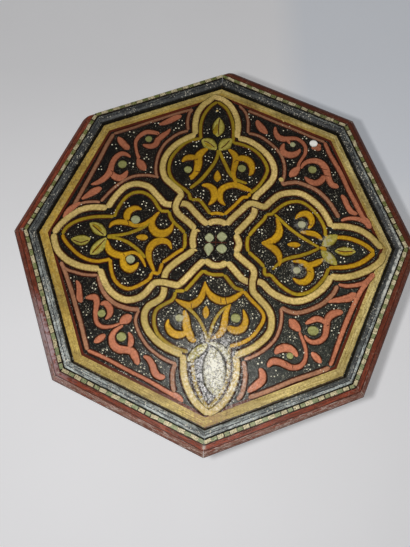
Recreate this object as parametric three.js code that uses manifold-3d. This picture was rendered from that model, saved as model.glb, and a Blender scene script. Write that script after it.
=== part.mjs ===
// An eight-sided painted wooden stool. Three edge-glued boards carry a raised lip, an outer
// moulding and an inner bead strip round the rim. Eight mitred side panels, each cut with a
// horseshoe arch, form the body and stand on sixteen leg ends. Blocks fill the inner corners,
// two battens tie the boards from below, and iron nails hold the top and the moulding.
// Millimetres, +Z up, origin on the floor below the middle of the top. Side 1 faces +X and
// the others follow it anticlockwise, an eighth of a turn apart.

import * as THREE from 'three';
import { mergeVertices } from 'three/addons/utils/BufferGeometryUtils.js';
import Module from 'manifold-3d';

const wasm = await Module();
wasm.setup();

// The whole stool
const topAcrossFlats = 430;
const topOverhang = 27;
const totalHeight = 450;
const jointGap = 0.3;
const sideCount = 8;

// The top boards
const boardThickness = 16;
const boardCount = 3;
const fieldRecess = 8;

// The lip strips, whose narrow upper faces carry the painted checks
const lipWidth = 4.7;
const lipArris = 0.5;

// The bead strips, a quarter round set in a shallow rebate of the boards against the lip
const beadWidth = 8.4;
const beadHeight = 7;
const beadRebate = 1.5;
const beadToe = 0.8;
const beadCrown = 1.6;

// The outer moulding, nailed round the lip. The one on the bare side is lost.
const mouldingWidth = 12.2;
const mouldingDrop = 1.2;
const mouldingFlat = 5.3;
const slopeFall = 6;
const slopeCrown = 0.9;
const noseHeight = 3.5;
const coveDepth = 8;
const coveHeight = 10;
const bareSide = 4;

// The side panels and the arch cut out of each
const panelThickness = 14;
const archWidth = 96;
const archSpringWidth = 80;
const archRadius = 58;
const archCentreHeight = 235;
const archPointOffset = 6;
const impostStep = 9;

// The blocks glued into the inner corners
const blockFace = 16;
const blockThickness = 8;
const blockLift = 12;

// The battens below the boards
const battenEndGap = 13;
const battenWidth = 40;
const battenThickness = 14;
const battenSpacing = 116;
const battenChamfer = 3;

// The nails, all of one size of wire, set a little below the wood. One in the middle of each
// side holds the top to its panel, and one holds each length of moulding.
const nailShankRadius = 1;
const nailHeadRadius = 2.1;
const nailHeadThickness = 1;
const nailPoint = 3;
const nailSet = 0.5;
const nailFacets = 8;
const mouldingNailLength = 18;
const topNailLength = 34;

// Places that follow from the sizes, as distances from the middle or heights from the floor
const turn = (2 * Math.PI) / sideCount;
const mitreSlope = Math.tan(turn / 2);
const mouldingOuter = topAcrossFlats / 2;
const mouldingInner = mouldingOuter - mouldingWidth;
const lipOuter = mouldingInner - jointGap;
const lipInner = lipOuter - lipWidth;
const boardEdge = lipInner - jointGap;
const beadOuter = boardEdge;
const beadInner = beadOuter - beadWidth;
const fieldTop = totalHeight - fieldRecess;
const boardBottom = fieldTop - boardThickness;
const panelOuter = mouldingOuter - topOverhang;
const panelInner = panelOuter - panelThickness;
const panelMiddle = (panelOuter + panelInner) / 2;
const panelTop = boardBottom - jointGap;
const blockTop = panelTop;
const battenTop = boardBottom - jointGap;
const battenBottom = battenTop - battenThickness;
const battenReach = panelInner - blockFace - battenEndGap;
const cutOverrun = nailHeadRadius;
const weldDistance = jointGap / 1000;
const curveSegments = 5;
const archSegments = 9;

const paint = {
  field: { color: 0x1d211c, roughness: 0.38, metalness: 0 },
  lip: { color: 0xb9b07c, roughness: 0.5, metalness: 0 },
  bead: { color: 0x25292b, roughness: 0.28, metalness: 0 },
  moulding: { color: 0x6d2a22, roughness: 0.45, metalness: 0 },
  panel: { color: 0x232622, roughness: 0.42, metalness: 0 },
  cedar: { color: 0xa5764a, roughness: 0.8, metalness: 0 },
  iron: { color: 0x4a4440, roughness: 0.6, metalness: 0.8 },
};

const stool = new THREE.Group();

function material(kind) {
  return new THREE.MeshStandardMaterial(paint[kind]);
}

function addPiece(parent, name, geometry, kind) {
  const piece = new THREE.Mesh(geometry, material(kind));
  piece.name = name;
  parent.add(piece);
  return piece;
}

function sideAngle(side) {
  return (side - 1) * turn;
}

// A group turned to one side: +X points out of that side, +Y runs along it and +Z is up.
function sideGroup(angle) {
  const group = new THREE.Group();
  group.rotation.z = angle;
  stool.add(group);
  return group;
}

function bareCopy(geometry) {
  const bare = geometry.index ? geometry.clone().toNonIndexed() : geometry.clone();
  bare.deleteAttribute('normal');
  bare.deleteAttribute('uv');
  return bare;
}

function toSolid(geometry) {
  const welded = mergeVertices(bareCopy(geometry), weldDistance);
  const corners = welded.index.array;
  const triangles = [];
  for (let i = 0; i < corners.length; i += 3) {
    const [a, b, c] = [corners[i], corners[i + 1], corners[i + 2]];
    if (a !== b && b !== c && c !== a) {
      triangles.push(a, b, c);
    }
  }
  return new wasm.Manifold(
    new wasm.Mesh({
      numProp: 3,
      vertProperties: new Float32Array(welded.attributes.position.array),
      triVerts: new Uint32Array(triangles),
    }),
  );
}

function toGeometry(solid) {
  const mesh = solid.getMesh();
  const geometry = new THREE.BufferGeometry();
  geometry.setAttribute('position', new THREE.BufferAttribute(mesh.vertProperties, 3));
  geometry.setIndex(new THREE.BufferAttribute(mesh.triVerts, 1));
  geometry.computeVertexNormals();
  return geometry;
}

function cutAway(geometry, cutters) {
  let solid = toSolid(geometry);
  for (const cutter of cutters) {
    solid = solid.subtract(toSolid(cutter));
  }
  return toGeometry(solid);
}

// How far a piece reaches along its side, at a distance out from the middle, up to its mitre.
function mitreEnd(out) {
  return out * mitreSlope - jointGap / 2 / Math.cos(turn / 2);
}

// The same for a moulding that is cut off flush with the lip of the bare side next to it.
function flushEnd(out) {
  return (lipOuter - out * Math.cos(turn)) / Math.sin(turn);
}

// A bar with the given upright section, whose X is the distance out and Y the height.
function bar(section, previousEnd, nextEnd) {
  const geometry = new THREE.ExtrudeGeometry(section, {
    depth: 1,
    bevelEnabled: false,
    curveSegments,
  });
  geometry.rotateX(Math.PI / 2);
  const places = geometry.attributes.position;
  for (let i = 0; i < places.count; i += 1) {
    const out = places.getX(i);
    places.setY(i, places.getY(i) < -0.5 ? -previousEnd(out) : nextEnd(out));
  }
  return geometry;
}

// A nail with its point down and the middle of its head's upper face at the origin. With a
// clearance it is the hole for that nail, open above the head.
function nail(length, clearance = 0) {
  const shank = nailShankRadius + clearance;
  const head = nailHeadRadius + clearance;
  const underHead = -nailHeadThickness - clearance;
  const top = clearance > 0 ? nailSet + cutOverrun : 0;
  const profile = [
    new THREE.Vector2(0, -length - clearance),
    new THREE.Vector2(shank, nailPoint - length - clearance),
    new THREE.Vector2(shank, underHead),
    new THREE.Vector2(head, underHead),
    new THREE.Vector2(head, top),
    new THREE.Vector2(0, top),
  ];
  const geometry = new THREE.LatheGeometry(profile, nailFacets);
  geometry.rotateX(Math.PI / 2);
  return geometry;
}

// Where one nail goes: the middle of its head, and the way the head faces.
function nailPlace(angle, out, along, height, facing) {
  const place = new THREE.Matrix4().makeRotationZ(angle);
  place.multiply(new THREE.Matrix4().makeTranslation(out, along, height));
  const upright = new THREE.Vector3(0, 0, 1);
  const turned = new THREE.Quaternion().setFromUnitVectors(upright, facing);
  return place.multiply(new THREE.Matrix4().makeRotationFromQuaternion(turned));
}

const outwards = new THREE.Vector3(1, 0, 0);
const upwards = new THREE.Vector3(0, 0, 1);

function hole(place, length) {
  return nail(length, jointGap).applyMatrix4(place);
}

function everySide() {
  return Array.from({ length: sideCount }, (unused, index) => index + 1);
}

function mouldingNailPlace(angle) {
  const out = mouldingOuter - coveDepth - nailSet;
  const height = boardBottom + boardThickness / 2;
  return nailPlace(angle, out, 0, height, outwards);
}

function topNailPlace(angle) {
  return nailPlace(angle, panelMiddle, 0, fieldTop - nailSet, upwards);
}

// What is planed away along one edge of the boards, for the bead strip to sit in
function rebate(side) {
  const inner = beadInner - jointGap;
  const outer = boardEdge + cutOverrun;
  const bottom = fieldTop - beadRebate;
  const top = fieldTop + cutOverrun;
  const geometry = new THREE.BoxGeometry(outer - inner, 2 * boardEdge, top - bottom);
  geometry.translate((inner + outer) / 2, 0, (bottom + top) / 2);
  geometry.rotateZ(sideAngle(side));
  return geometry;
}

// The eight-sided top, sawn into boards that run along X
function addBoards() {
  const corners = everySide().map((side) => {
    const angle = sideAngle(side) + turn / 2;
    const reach = boardEdge / Math.cos(turn / 2);
    return new THREE.Vector2(reach * Math.cos(angle), reach * Math.sin(angle));
  });
  const octagon = new THREE.ExtrudeGeometry(new THREE.Shape(corners), {
    depth: boardThickness,
    bevelEnabled: false,
  });
  octagon.translate(0, 0, boardBottom);
  const holes = everySide().flatMap((side) => [
    hole(mouldingNailPlace(sideAngle(side)), mouldingNailLength),
    hole(topNailPlace(sideAngle(side)), topNailLength),
  ]);
  const rebates = everySide().map(rebate);
  const drilled = toSolid(cutAway(octagon, [...holes, ...rebates]));
  const boardWidth = (2 * boardEdge) / boardCount;
  const names = ['front', 'middle', 'back'];
  for (let board = 0; board < boardCount; board += 1) {
    const slab = new THREE.BoxGeometry(
      3 * boardEdge,
      boardWidth - jointGap,
      3 * boardThickness,
    );
    slab.translate(0, -boardEdge + (board + 0.5) * boardWidth, boardBottom);
    const geometry = toGeometry(drilled.intersect(toSolid(slab)));
    addPiece(stool, `top_board_${names[board] ?? board + 1}`, geometry, 'field');
  }
}

function lipSection() {
  const section = new THREE.Shape();
  section.moveTo(lipInner, boardBottom);
  section.lineTo(lipOuter, boardBottom);
  section.lineTo(lipOuter, totalHeight - lipArris);
  section.lineTo(lipOuter - lipArris, totalHeight);
  section.lineTo(lipInner + lipArris, totalHeight);
  section.lineTo(lipInner, totalHeight - lipArris);
  section.closePath();
  return section;
}

// A quarter round that falls towards the field, with a small fall back to the lip
function beadSection() {
  const low = fieldTop + jointGap;
  const high = low + beadHeight;
  const section = new THREE.Shape();
  section.moveTo(beadInner, low - beadRebate);
  section.lineTo(beadOuter, low - beadRebate);
  section.lineTo(beadOuter, high - beadCrown);
  section.quadraticCurveTo(beadOuter, high, beadOuter - beadCrown, high);
  section.quadraticCurveTo(beadInner + beadToe, high, beadInner, low + beadToe);
  section.closePath();
  return section;
}

// A flat by the lip, a rounded fall to the nose, and a cove below it
function mouldingSection() {
  const top = totalHeight - mouldingDrop;
  const noseTop = top - slopeFall;
  const noseBottom = noseTop - noseHeight;
  const crease = mouldingInner + mouldingFlat;
  const coveFoot = mouldingOuter - coveDepth;
  const section = new THREE.Shape();
  section.moveTo(mouldingInner, boardBottom);
  section.lineTo(coveFoot, boardBottom);
  section.lineTo(coveFoot, noseBottom - coveHeight);
  section.quadraticCurveTo(coveFoot, noseBottom, mouldingOuter, noseBottom);
  section.lineTo(mouldingOuter, noseTop);
  section.quadraticCurveTo(
    (crease + mouldingOuter) / 2 + slopeCrown,
    (top + noseTop) / 2 + slopeCrown,
    crease,
    top,
  );
  section.lineTo(mouldingInner, top);
  section.closePath();
  return section;
}

// The outline of a side panel, seen from outside, with its arch open at the floor
function panelOutline() {
  const half = panelOuter * mitreSlope;
  const springAngle = Math.acos((archSpringWidth / 2 + archPointOffset) / archRadius);
  const pointAngle = Math.acos(archPointOffset / archRadius);
  const springHeight = archCentreHeight - archRadius * Math.sin(springAngle);
  const outline = new THREE.Shape();
  outline.moveTo(half, 0);
  outline.lineTo(half, panelTop);
  outline.lineTo(-half, panelTop);
  outline.lineTo(-half, 0);
  outline.lineTo(-archWidth / 2, 0);
  outline.lineTo(-archWidth / 2, springHeight - impostStep);
  outline.absarc(
    archPointOffset,
    archCentreHeight,
    archRadius,
    Math.PI + springAngle,
    Math.PI - pointAngle,
    true,
  );
  outline.absarc(
    -archPointOffset,
    archCentreHeight,
    archRadius,
    pointAngle,
    -springAngle,
    true,
  );
  outline.lineTo(archWidth / 2, springHeight - impostStep);
  outline.lineTo(archWidth / 2, 0);
  outline.closePath();
  return outline;
}

function panelGeometry() {
  const geometry = new THREE.ExtrudeGeometry(panelOutline(), {
    depth: panelThickness,
    bevelEnabled: false,
    curveSegments: archSegments,
  });
  geometry.rotateX(Math.PI / 2);
  geometry.rotateZ(Math.PI / 2);
  geometry.translate(panelInner, 0, 0);
  const places = geometry.attributes.position;
  const edge = mitreEnd(panelInner);
  for (let i = 0; i < places.count; i += 1) {
    if (Math.abs(places.getY(i)) > edge) {
      places.setY(i, Math.sign(places.getY(i)) * mitreEnd(places.getX(i)));
    }
  }
  return cutAway(geometry, [hole(topNailPlace(0), topNailLength)]);
}

// A block behind one corner joint. +X points at the corner, and both faces meet the panels.
function blockGeometry() {
  const corner = (panelInner - jointGap) / Math.cos(turn / 2);
  const back = Math.sin(turn / 2);
  const across = Math.cos(turn / 2);
  const heel = [corner - blockFace * back, blockFace * across];
  const toe = [heel[0] - blockThickness * across, heel[1] - blockThickness * back];
  const outline = new THREE.Shape([
    new THREE.Vector2(corner, 0),
    new THREE.Vector2(heel[0], heel[1]),
    new THREE.Vector2(toe[0], toe[1]),
    new THREE.Vector2(toe[0], -toe[1]),
    new THREE.Vector2(heel[0], -heel[1]),
  ]);
  const geometry = new THREE.ExtrudeGeometry(outline, {
    depth: blockTop - blockLift,
    bevelEnabled: false,
  });
  geometry.translate(0, 0, blockLift);
  return geometry;
}

function battenGeometry(across) {
  const half = battenWidth / 2;
  const outline = new THREE.Shape();
  outline.moveTo(-half, battenTop);
  outline.lineTo(-half, battenBottom + battenChamfer);
  outline.lineTo(battenChamfer - half, battenBottom);
  outline.lineTo(half - battenChamfer, battenBottom);
  outline.lineTo(half, battenBottom + battenChamfer);
  outline.lineTo(half, battenTop);
  outline.closePath();
  const geometry = new THREE.ExtrudeGeometry(outline, {
    depth: 2 * battenReach,
    bevelEnabled: false,
  });
  geometry.rotateX(Math.PI / 2);
  geometry.translate(across, battenReach, 0);
  return geometry;
}

function addRim() {
  const mouldingHole = hole(mouldingNailPlace(0), mouldingNailLength);
  const lip = cutAway(bar(lipSection(), mitreEnd, mitreEnd), [mouldingHole]);
  const bead = bar(beadSection(), mitreEnd, mitreEnd);
  for (const side of everySide()) {
    const group = sideGroup(sideAngle(side));
    addPiece(group, `lip_strip_${side}`, lip, 'lip');
    addPiece(group, `bead_strip_${side}`, bead, 'bead');
    if (side !== bareSide) {
      const previousEnd = side - 1 === bareSide ? flushEnd : mitreEnd;
      const nextEnd = side + 1 === bareSide ? flushEnd : mitreEnd;
      const moulding = cutAway(bar(mouldingSection(), previousEnd, nextEnd), [mouldingHole]);
      addPiece(group, `outer_moulding_${side}`, moulding, 'moulding');
    }
  }
}

function addBody() {
  const panel = panelGeometry();
  const block = blockGeometry();
  for (const side of everySide()) {
    addPiece(sideGroup(sideAngle(side)), `side_panel_${side}`, panel, 'panel');
    addPiece(sideGroup(sideAngle(side) + turn / 2), `corner_block_${side}`, block, 'cedar');
  }
  addPiece(stool, 'batten_left', battenGeometry(-battenSpacing / 2), 'cedar');
  addPiece(stool, 'batten_right', battenGeometry(battenSpacing / 2), 'cedar');
}

function addNails() {
  for (const side of everySide()) {
    const angle = sideAngle(side);
    const topNail = nail(topNailLength).applyMatrix4(topNailPlace(angle));
    addPiece(stool, `top_nail_${side}`, topNail, 'iron');
    if (side !== bareSide) {
      const mouldingNail = nail(mouldingNailLength).applyMatrix4(mouldingNailPlace(angle));
      addPiece(stool, `moulding_nail_${side}`, mouldingNail, 'iron');
    }
  }
}

addBoards();
addRim();
addBody();
addNails();

export default stool;
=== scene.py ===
# %% [markdown]
# # A painted eight-sided stool, dressed from its construction
# The construction arrives as finished solids: boards, rim strips, panels, blocks, battens and
# nails. They keep their shape here. This lesson gives them wood and old paint, and lays the
# painted ornament on them as thin raised strokes, because on the real stool each line is a
# brush stroke with a thickness that catches the light.

# %% Load the construction
import math
import random

import bpy
from mathutils import Matrix, Vector


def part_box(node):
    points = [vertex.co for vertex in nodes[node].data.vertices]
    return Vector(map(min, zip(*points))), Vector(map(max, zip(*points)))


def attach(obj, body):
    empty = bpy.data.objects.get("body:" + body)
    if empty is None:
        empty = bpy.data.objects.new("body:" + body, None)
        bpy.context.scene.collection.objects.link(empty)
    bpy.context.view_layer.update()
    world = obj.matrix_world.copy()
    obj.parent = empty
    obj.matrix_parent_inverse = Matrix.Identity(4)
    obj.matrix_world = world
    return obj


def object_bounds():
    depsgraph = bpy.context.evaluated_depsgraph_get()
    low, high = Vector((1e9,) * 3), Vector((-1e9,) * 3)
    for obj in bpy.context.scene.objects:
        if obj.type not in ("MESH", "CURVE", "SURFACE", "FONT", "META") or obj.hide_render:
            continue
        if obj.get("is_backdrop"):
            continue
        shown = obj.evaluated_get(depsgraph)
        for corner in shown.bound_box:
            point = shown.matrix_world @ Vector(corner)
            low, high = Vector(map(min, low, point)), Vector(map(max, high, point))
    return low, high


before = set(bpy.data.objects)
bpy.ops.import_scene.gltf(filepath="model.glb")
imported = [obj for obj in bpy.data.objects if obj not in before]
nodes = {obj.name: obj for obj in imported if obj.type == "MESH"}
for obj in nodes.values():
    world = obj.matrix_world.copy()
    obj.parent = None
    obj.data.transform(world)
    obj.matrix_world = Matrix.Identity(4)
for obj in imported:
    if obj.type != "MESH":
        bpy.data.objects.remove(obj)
cad_low, cad_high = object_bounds()
print("construction", len(nodes), "solids, box", cad_low, cad_high)

# %% [markdown]
# ## Sizes taken from the construction
# Every place below is measured from the solids. The ornament is drawn in thousandths of one
# length, the distance from the middle to a corner of the lip's inner edge, with the picture's
# top corner upwards. One turn of 22.5 degrees brings that drawing onto the stool.

# %% Measure the top
MM = 0.001
EIGHTH = math.pi / 4
HALF_SIDE = math.pi / 8
LIP_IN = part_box("lip_strip_1")[0].x
LIP_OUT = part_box("lip_strip_1")[1].x
LIP_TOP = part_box("lip_strip_1")[1].z
BEAD_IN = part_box("bead_strip_1")[0].x
BEAD_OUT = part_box("bead_strip_1")[1].x
MOULD_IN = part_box("outer_moulding_1")[0].x
MOULD_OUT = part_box("outer_moulding_1")[1].x
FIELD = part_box("top_board_middle")[1].z
PANEL_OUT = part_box("side_panel_1")[1].x
PANEL_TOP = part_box("side_panel_1")[1].z
CORNER_REACH = LIP_IN / math.cos(HALF_SIDE)
THOUSANDTH = CORNER_REACH / 1000
BARE_SIDE = 4


def on_top(x, y):
    """A point of the drawing, in thousandths, as a place on the stool in metres."""
    return Matrix.Rotation(HALF_SIDE, 2) @ Vector((x, y)) * THOUSANDTH


print("corner reach", round(CORNER_REACH, 4), "field height", round(FIELD, 4))

# %% [markdown]
# ## The camera
# The photograph looks down on the stool from a little under half a metre above it. Its place
# was solved from the corners of the rim, which are a regular octagon, so the picture's lines
# fall where the photograph's do.

# %% Place the camera
SENSOR = 36.0
FRAME_HEIGHT = 547
FOCAL_PIXELS = 411
eye = Vector((0.0580, -0.1410, 0.8929))
look = (math.radians(14.110), math.radians(0.276), math.radians(25.548))


def add_object(name, data):
    """A new object at the origin, brought into the scene."""
    item = bpy.data.objects.new(name, data)
    bpy.context.scene.collection.objects.link(item)
    return item


camera_data = bpy.data.cameras.new("camera")
camera_data.sensor_width = SENSOR
camera_data.lens = SENSOR * FOCAL_PIXELS / FRAME_HEIGHT
camera = add_object("camera", camera_data)
camera.location = eye
camera.rotation_euler = look
bpy.context.scene.camera = camera
bpy.context.scene.view_settings.view_transform = "Standard"
print("lens", round(camera_data.lens, 2))

# %% [markdown]
# ## Helpers for node trees
# A material or a geometry tree is a set of nodes joined by links. These helpers keep the
# lesson short. One makes a node and fills its inputs, from numbers or from other nodes'
# outputs. One makes a named group with named inputs and outputs. The short ones are the
# arithmetic, the noise and the mixing of colours that every cell below is written in.

# %% Node helpers
KINDS = {
    "geometry": "NodeSocketGeometry",
    "value": "NodeSocketFloat",
    "count": "NodeSocketInt",
    "colour": "NodeSocketColor",
    "vector": "NodeSocketVector",
    "material": "NodeSocketMaterial",
}


def make(tree, kind, inputs=None, **settings):
    """Adds one node. A number is typed into its input, and a socket is linked to it."""
    node = tree.nodes.new(kind)
    for key, value in settings.items():
        setattr(node, key, value)
    for key, value in (inputs or {}).items():
        if isinstance(value, bpy.types.NodeSocket):
            tree.links.new(value, node.inputs[key])
        else:
            node.inputs[key].default_value = value
    return node


def new_group(name, family, inputs, outputs):
    """Makes an empty group whose sockets are (label, kind, default), and its two ends."""
    tree = bpy.data.node_groups.new(name, family)
    for label, kind, default in inputs:
        socket = tree.interface.new_socket(label, in_out="INPUT", socket_type=KINDS[kind])
        if default is not None:
            socket.default_value = default
    for label, kind in outputs:
        tree.interface.new_socket(label, in_out="OUTPUT", socket_type=KINDS[kind])
    return tree, tree.nodes.new("NodeGroupInput"), tree.nodes.new("NodeGroupOutput")


def shader_group(name, inputs, outputs):
    """A group for materials: its tree, what comes into it and the end that takes its results."""
    tree, start, end = new_group(name, "ShaderNodeTree", inputs, outputs)
    return tree, start.outputs, end


def give(end, **results):
    """Joins results to a group's own outputs, by label."""
    for label, result in results.items():
        end.id_data.links.new(result, end.inputs[label])


def step(tree, kind, inputs=None, **settings):
    """Adds one node and returns the first thing it makes."""
    return make(tree, kind, inputs, **settings).outputs[0]


def tree_of(*values):
    """The tree that the first socket among some values belongs to."""
    return next(value.id_data for value in values if isinstance(value, bpy.types.NodeSocket))


def calc(operation, first, second=0.0):
    """One arithmetic step between sockets and numbers, in the sockets' own tree."""
    inputs = {0: first, 1: second}
    return step(tree_of(first, second), "ShaderNodeMath", inputs, operation=operation)


def plus(first, second):
    """The sum of two values."""
    return calc("ADD", first, second)


def minus(first, second):
    """The first value less the second."""
    return calc("SUBTRACT", first, second)


def times(first, second):
    """The product of two values."""
    return calc("MULTIPLY", first, second)


def larger(first, second):
    """The larger of two values."""
    return calc("MAXIMUM", first, second)


def remap(value, low, high, out_low=0.0, out_high=1.0):
    """Stretches a value from one range to another, held inside the new range."""
    inputs = {0: value, 1: low, 2: high, 3: out_low, 4: out_high}
    return step(tree_of(value), "ShaderNodeMapRange", inputs)


def split(vector):
    """The three numbers of a place."""
    return make(tree_of(vector), "ShaderNodeSeparateXYZ", {0: vector}).outputs


def join(first, second, third=0.0):
    """A place from three numbers."""
    inputs = {0: first, 1: second, 2: third}
    return step(tree_of(first, second, third), "ShaderNodeCombineXYZ", inputs)


def on_places(operation, first, second, result="Vector"):
    """One arithmetic step between places or directions."""
    inputs = {0: first, 1: second}
    return make(tree_of(first, second), "ShaderNodeVectorMath", inputs, operation=operation).outputs[result]


def distance(place, spot):
    """How far a place lies from a fixed spot."""
    return on_places("DISTANCE", place, spot, "Value")


def blend(amount, first, second):
    """Mixes two colours by an amount."""
    inputs = {0: amount, 6: first, 7: second}
    return make(tree_of(amount), "ShaderNodeMix", inputs, data_type="RGBA").outputs[2]


def lay(colour, over, mask, share=None):
    """Lays a second colour over the first where a mask says, at a share of its strength."""
    amount = mask if share is None else times(mask, share)
    return blend(amount, colour, opaque(over))


def opaque(colour):
    """A colour with full cover."""
    return (*colour, 1.0)


def noise(place, scale, detail=3.0, rough=0.55):
    """Cloudy noise with about `scale` blotches to the metre."""
    inputs = {"Vector": place, "Scale": scale, "Detail": detail, "Roughness": rough}
    return step(tree_of(place), "ShaderNodeTexNoise", inputs)


def ragged_line(place, scale, detail, rough, width):
    """Noise about zero, for a line that wavers by a width."""
    return times(minus(noise(place, scale, detail, rough), 0.5), width)


def place_in(tree):
    """The place of the point being coloured, in metres."""
    return make(tree, "ShaderNodeTexCoord").outputs["Object"]


def use_group(tree, group, **inputs):
    """Places a group in a tree, with its inputs given by label, and returns its outputs."""
    node = tree.nodes.new("ShaderNodeGroup")
    node.node_tree = group
    for label, value in inputs.items():
        label = label.replace("_", " ")
        if isinstance(value, bpy.types.NodeSocket):
            tree.links.new(value, node.inputs[label])
        else:
            node.inputs[label].default_value = value
    return node.outputs


print("helpers ready")

# %% [markdown]
# ## Where a point lies on an eight-sided thing
# Paint and wear on the rim follow the rim: a line runs along it at one distance out. This
# group turns a point's place into its distance out from the middle, square to the nearest
# side, its place along that side, and the number of the side.

# %% Group: rim coordinates
rim_group, given, end = shader_group(
    "rim coordinates", [], [("Out", "value"), ("Along", "value"), ("Side", "value"), ("Height", "value")]
)
x, y, high = split(place_in(rim_group))
angle = calc("ARCTAN2", y, x)
side = calc("ROUND", calc("DIVIDE", angle, EIGHTH))
off = minus(angle, times(side, EIGHTH))
reach = calc("SQRT", plus(times(x, x), times(y, y)))
out, along = times(reach, calc("COSINE", off)), times(reach, calc("SINE", off))
give(end, Out=out, Along=along, Side=side, Height=high)
print("group", rim_group.name)

# %% [markdown]
# ## Old paint
# Paint on a stool in daily use is never one colour. Broad patches are darker with handling,
# fine mottling comes from the brush and the wood below, small flecks are chipped away, and
# hairline cracks run through it. One group does all four, so that every colour on the stool
# ages in the same way, each with its own amounts. The second number of each noise call is
# how many blotches fit in a metre: 26 gives patches as wide as a thumb, 420 specks.

# %% Group: aged paint
aged_group, given, end = shader_group(
    "aged paint",
    [
        ("Colour", "colour", (0.5, 0.4, 0.2, 1)),
        ("Dark", "colour", (0.2, 0.12, 0.05, 1)),
        ("Under", "colour", (0.03, 0.02, 0.015, 1)),
        ("Patchiness", "value", 0.5),
        ("Mottle", "value", 0.5),
        ("Chips", "value", 0.3),
        ("Cracks", "value", 0.5),
        ("Gloss", "value", 0.4),
    ],
    [("Colour", "colour"), ("Roughness", "value"), ("Height", "value")],
)
where = place_in(aged_group)
broad = remap(noise(where, 26, 2), 0.38, 0.66)
fine = remap(noise(where, 420, 4, 0.65), 0.36, 0.66)
grit = noise(where, 1500, 2, 0.6)
patched = blend(times(broad, given["Patchiness"]), given["Colour"], given["Dark"])
mottled = blend(times(fine, given["Mottle"]), patched, given["Dark"])
# cracks follow the edges of cells, in some zones only
cells = {"Vector": where, "Scale": 190.0, "Randomness": 1.0}
from_edge = step(aged_group, "ShaderNodeTexVoronoi", cells, feature="DISTANCE_TO_EDGE")
crack_line = times(remap(from_edge, 0.0, 0.05, 1, 0), remap(noise(where, 60, 2), 0.48, 0.6))
cracked = times(crack_line, given["Cracks"])
# more chips are let through as their threshold sinks
chip_level = remap(given["Chips"], 0, 1, 0.78, 0.5)
chipped = remap(noise(where, 800, 3, 0.7), chip_level, plus(chip_level, 0.035))
lost = larger(chipped, cracked)
roughness = plus(plus(given["Gloss"], times(grit, 0.12)), times(lost, 0.3))
height = plus(minus(times(grit, 0.35), times(lost, 0.8)), times(fine, 0.25))
give(end, Colour=blend(lost, mottled, given["Under"]), Roughness=roughness, Height=height)
print("group", aged_group.name)

# %% [markdown]
# ## Cedar
# The bare wood inside and below is cedar: a warm brown with long soft lines of grain. The
# lines are noise stretched along the length of the piece, so the group takes the direction
# that the piece was sawn in.

# %% Group: cedar grain
wood_group, given, end = shader_group(
    "cedar grain",
    [
        ("Stretch", "vector", (1.0, 1.0, 0.06)),
        ("Light", "colour", (0.42, 0.23, 0.10, 1)),
        ("Dark", "colour", (0.20, 0.095, 0.04, 1)),
    ],
    [("Colour", "colour"), ("Roughness", "value"), ("Height", "value")],
)
where = place_in(wood_group)
stretched = on_places("MULTIPLY", where, given["Stretch"])
bands = remap(noise(stretched, 60, 4, 0.6), 0.35, 0.65)
fibre = remap(noise(stretched, 700, 3, 0.6), 0.3, 0.7)
stain = remap(noise(where, 14, 3), 0.45, 0.7)
lined = blend(times(fibre, 0.45), blend(bands, given["Light"], given["Dark"]), given["Dark"])
soiled = lay(lined, (0.07, 0.04, 0.02), stain, 0.5)
relief = plus(times(fibre, 0.6), bands)
give(end, Colour=soiled, Roughness=remap(fibre, 0, 1, 0.62, 0.85), Height=relief)
print("group", wood_group.name)

# %% [markdown]
# ## Specks
# Small pale flecks lie over all the black: lost paint, plaster dust and spatter. Each cell of
# a cellular pattern gets one round fleck, most cells get none, and their sizes differ.

# %% Group: pale specks
speck_group, given, end = shader_group(
    "pale specks",
    [("Number", "value", 420.0), ("Share", "value", 0.35), ("Size", "value", 0.3)],
    [("Mask", "value")],
)
cells = {"Vector": place_in(speck_group), "Scale": given["Number"]}
cell = make(speck_group, "ShaderNodeTexVoronoi", cells, feature="F1").outputs
dice = make(speck_group, "ShaderNodeSeparateColor", {0: cell["Color"]}).outputs
chosen = calc("LESS_THAN", dice[0], given["Share"])
radius = times(given["Size"], plus(dice[1], 0.25))
round_spot = remap(cell["Distance"], times(radius, 0.6), radius, 1.0, 0.0)
give(end, Mask=times(round_spot, chosen))
print("group", speck_group.name)

# %% [markdown]
# ## Which way is up in the picture
# Dirt and rubbing differ from one side of the top to the other. This group gives a point's
# place measured toward the top of the picture and toward its right, in metres.

# %% Group: picture axes
axes_group, given, end = shader_group("picture axes", [], [("Right", "value"), ("Up", "value")])
x, y, high = split(place_in(axes_group))
cosine, sine = math.cos(HALF_SIDE), math.sin(HALF_SIDE)
give(end, Right=plus(times(x, cosine), times(y, sine)), Up=plus(times(x, -sine), times(y, cosine)))
print("group", axes_group.name)

# %% [markdown]
# ## Varnish
# The varnish dried in ripples two or three millimetres apart. They break the lamp's reflection
# into sparks, which is what makes the glare near the bottom petal look rough. The old boards
# have also moved: the face leans by a degree or two, which carries the glare to the right.

# %% Group: varnish ripples
ripple_group, given, end = shader_group(
    "varnish ripples",
    [("Depth", "value", 0.32 * MM), ("Lean right", "value", 0.031), ("Lean up", "value", -0.020)],
    [("Normal", "vector")],
)
ripple = times(noise(place_in(ripple_group), 600, 4, 0.75), given["Depth"])
axes = use_group(ripple_group, axes_group)
lean = plus(times(axes["Right"], given["Lean right"]), times(axes["Up"], given["Lean up"]))
relief = {"Height": plus(ripple, lean), "Distance": 1.0, "Strength": 1.0}
give(end, Normal=step(ripple_group, "ShaderNodeBump", relief))
print("group", ripple_group.name)
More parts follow.
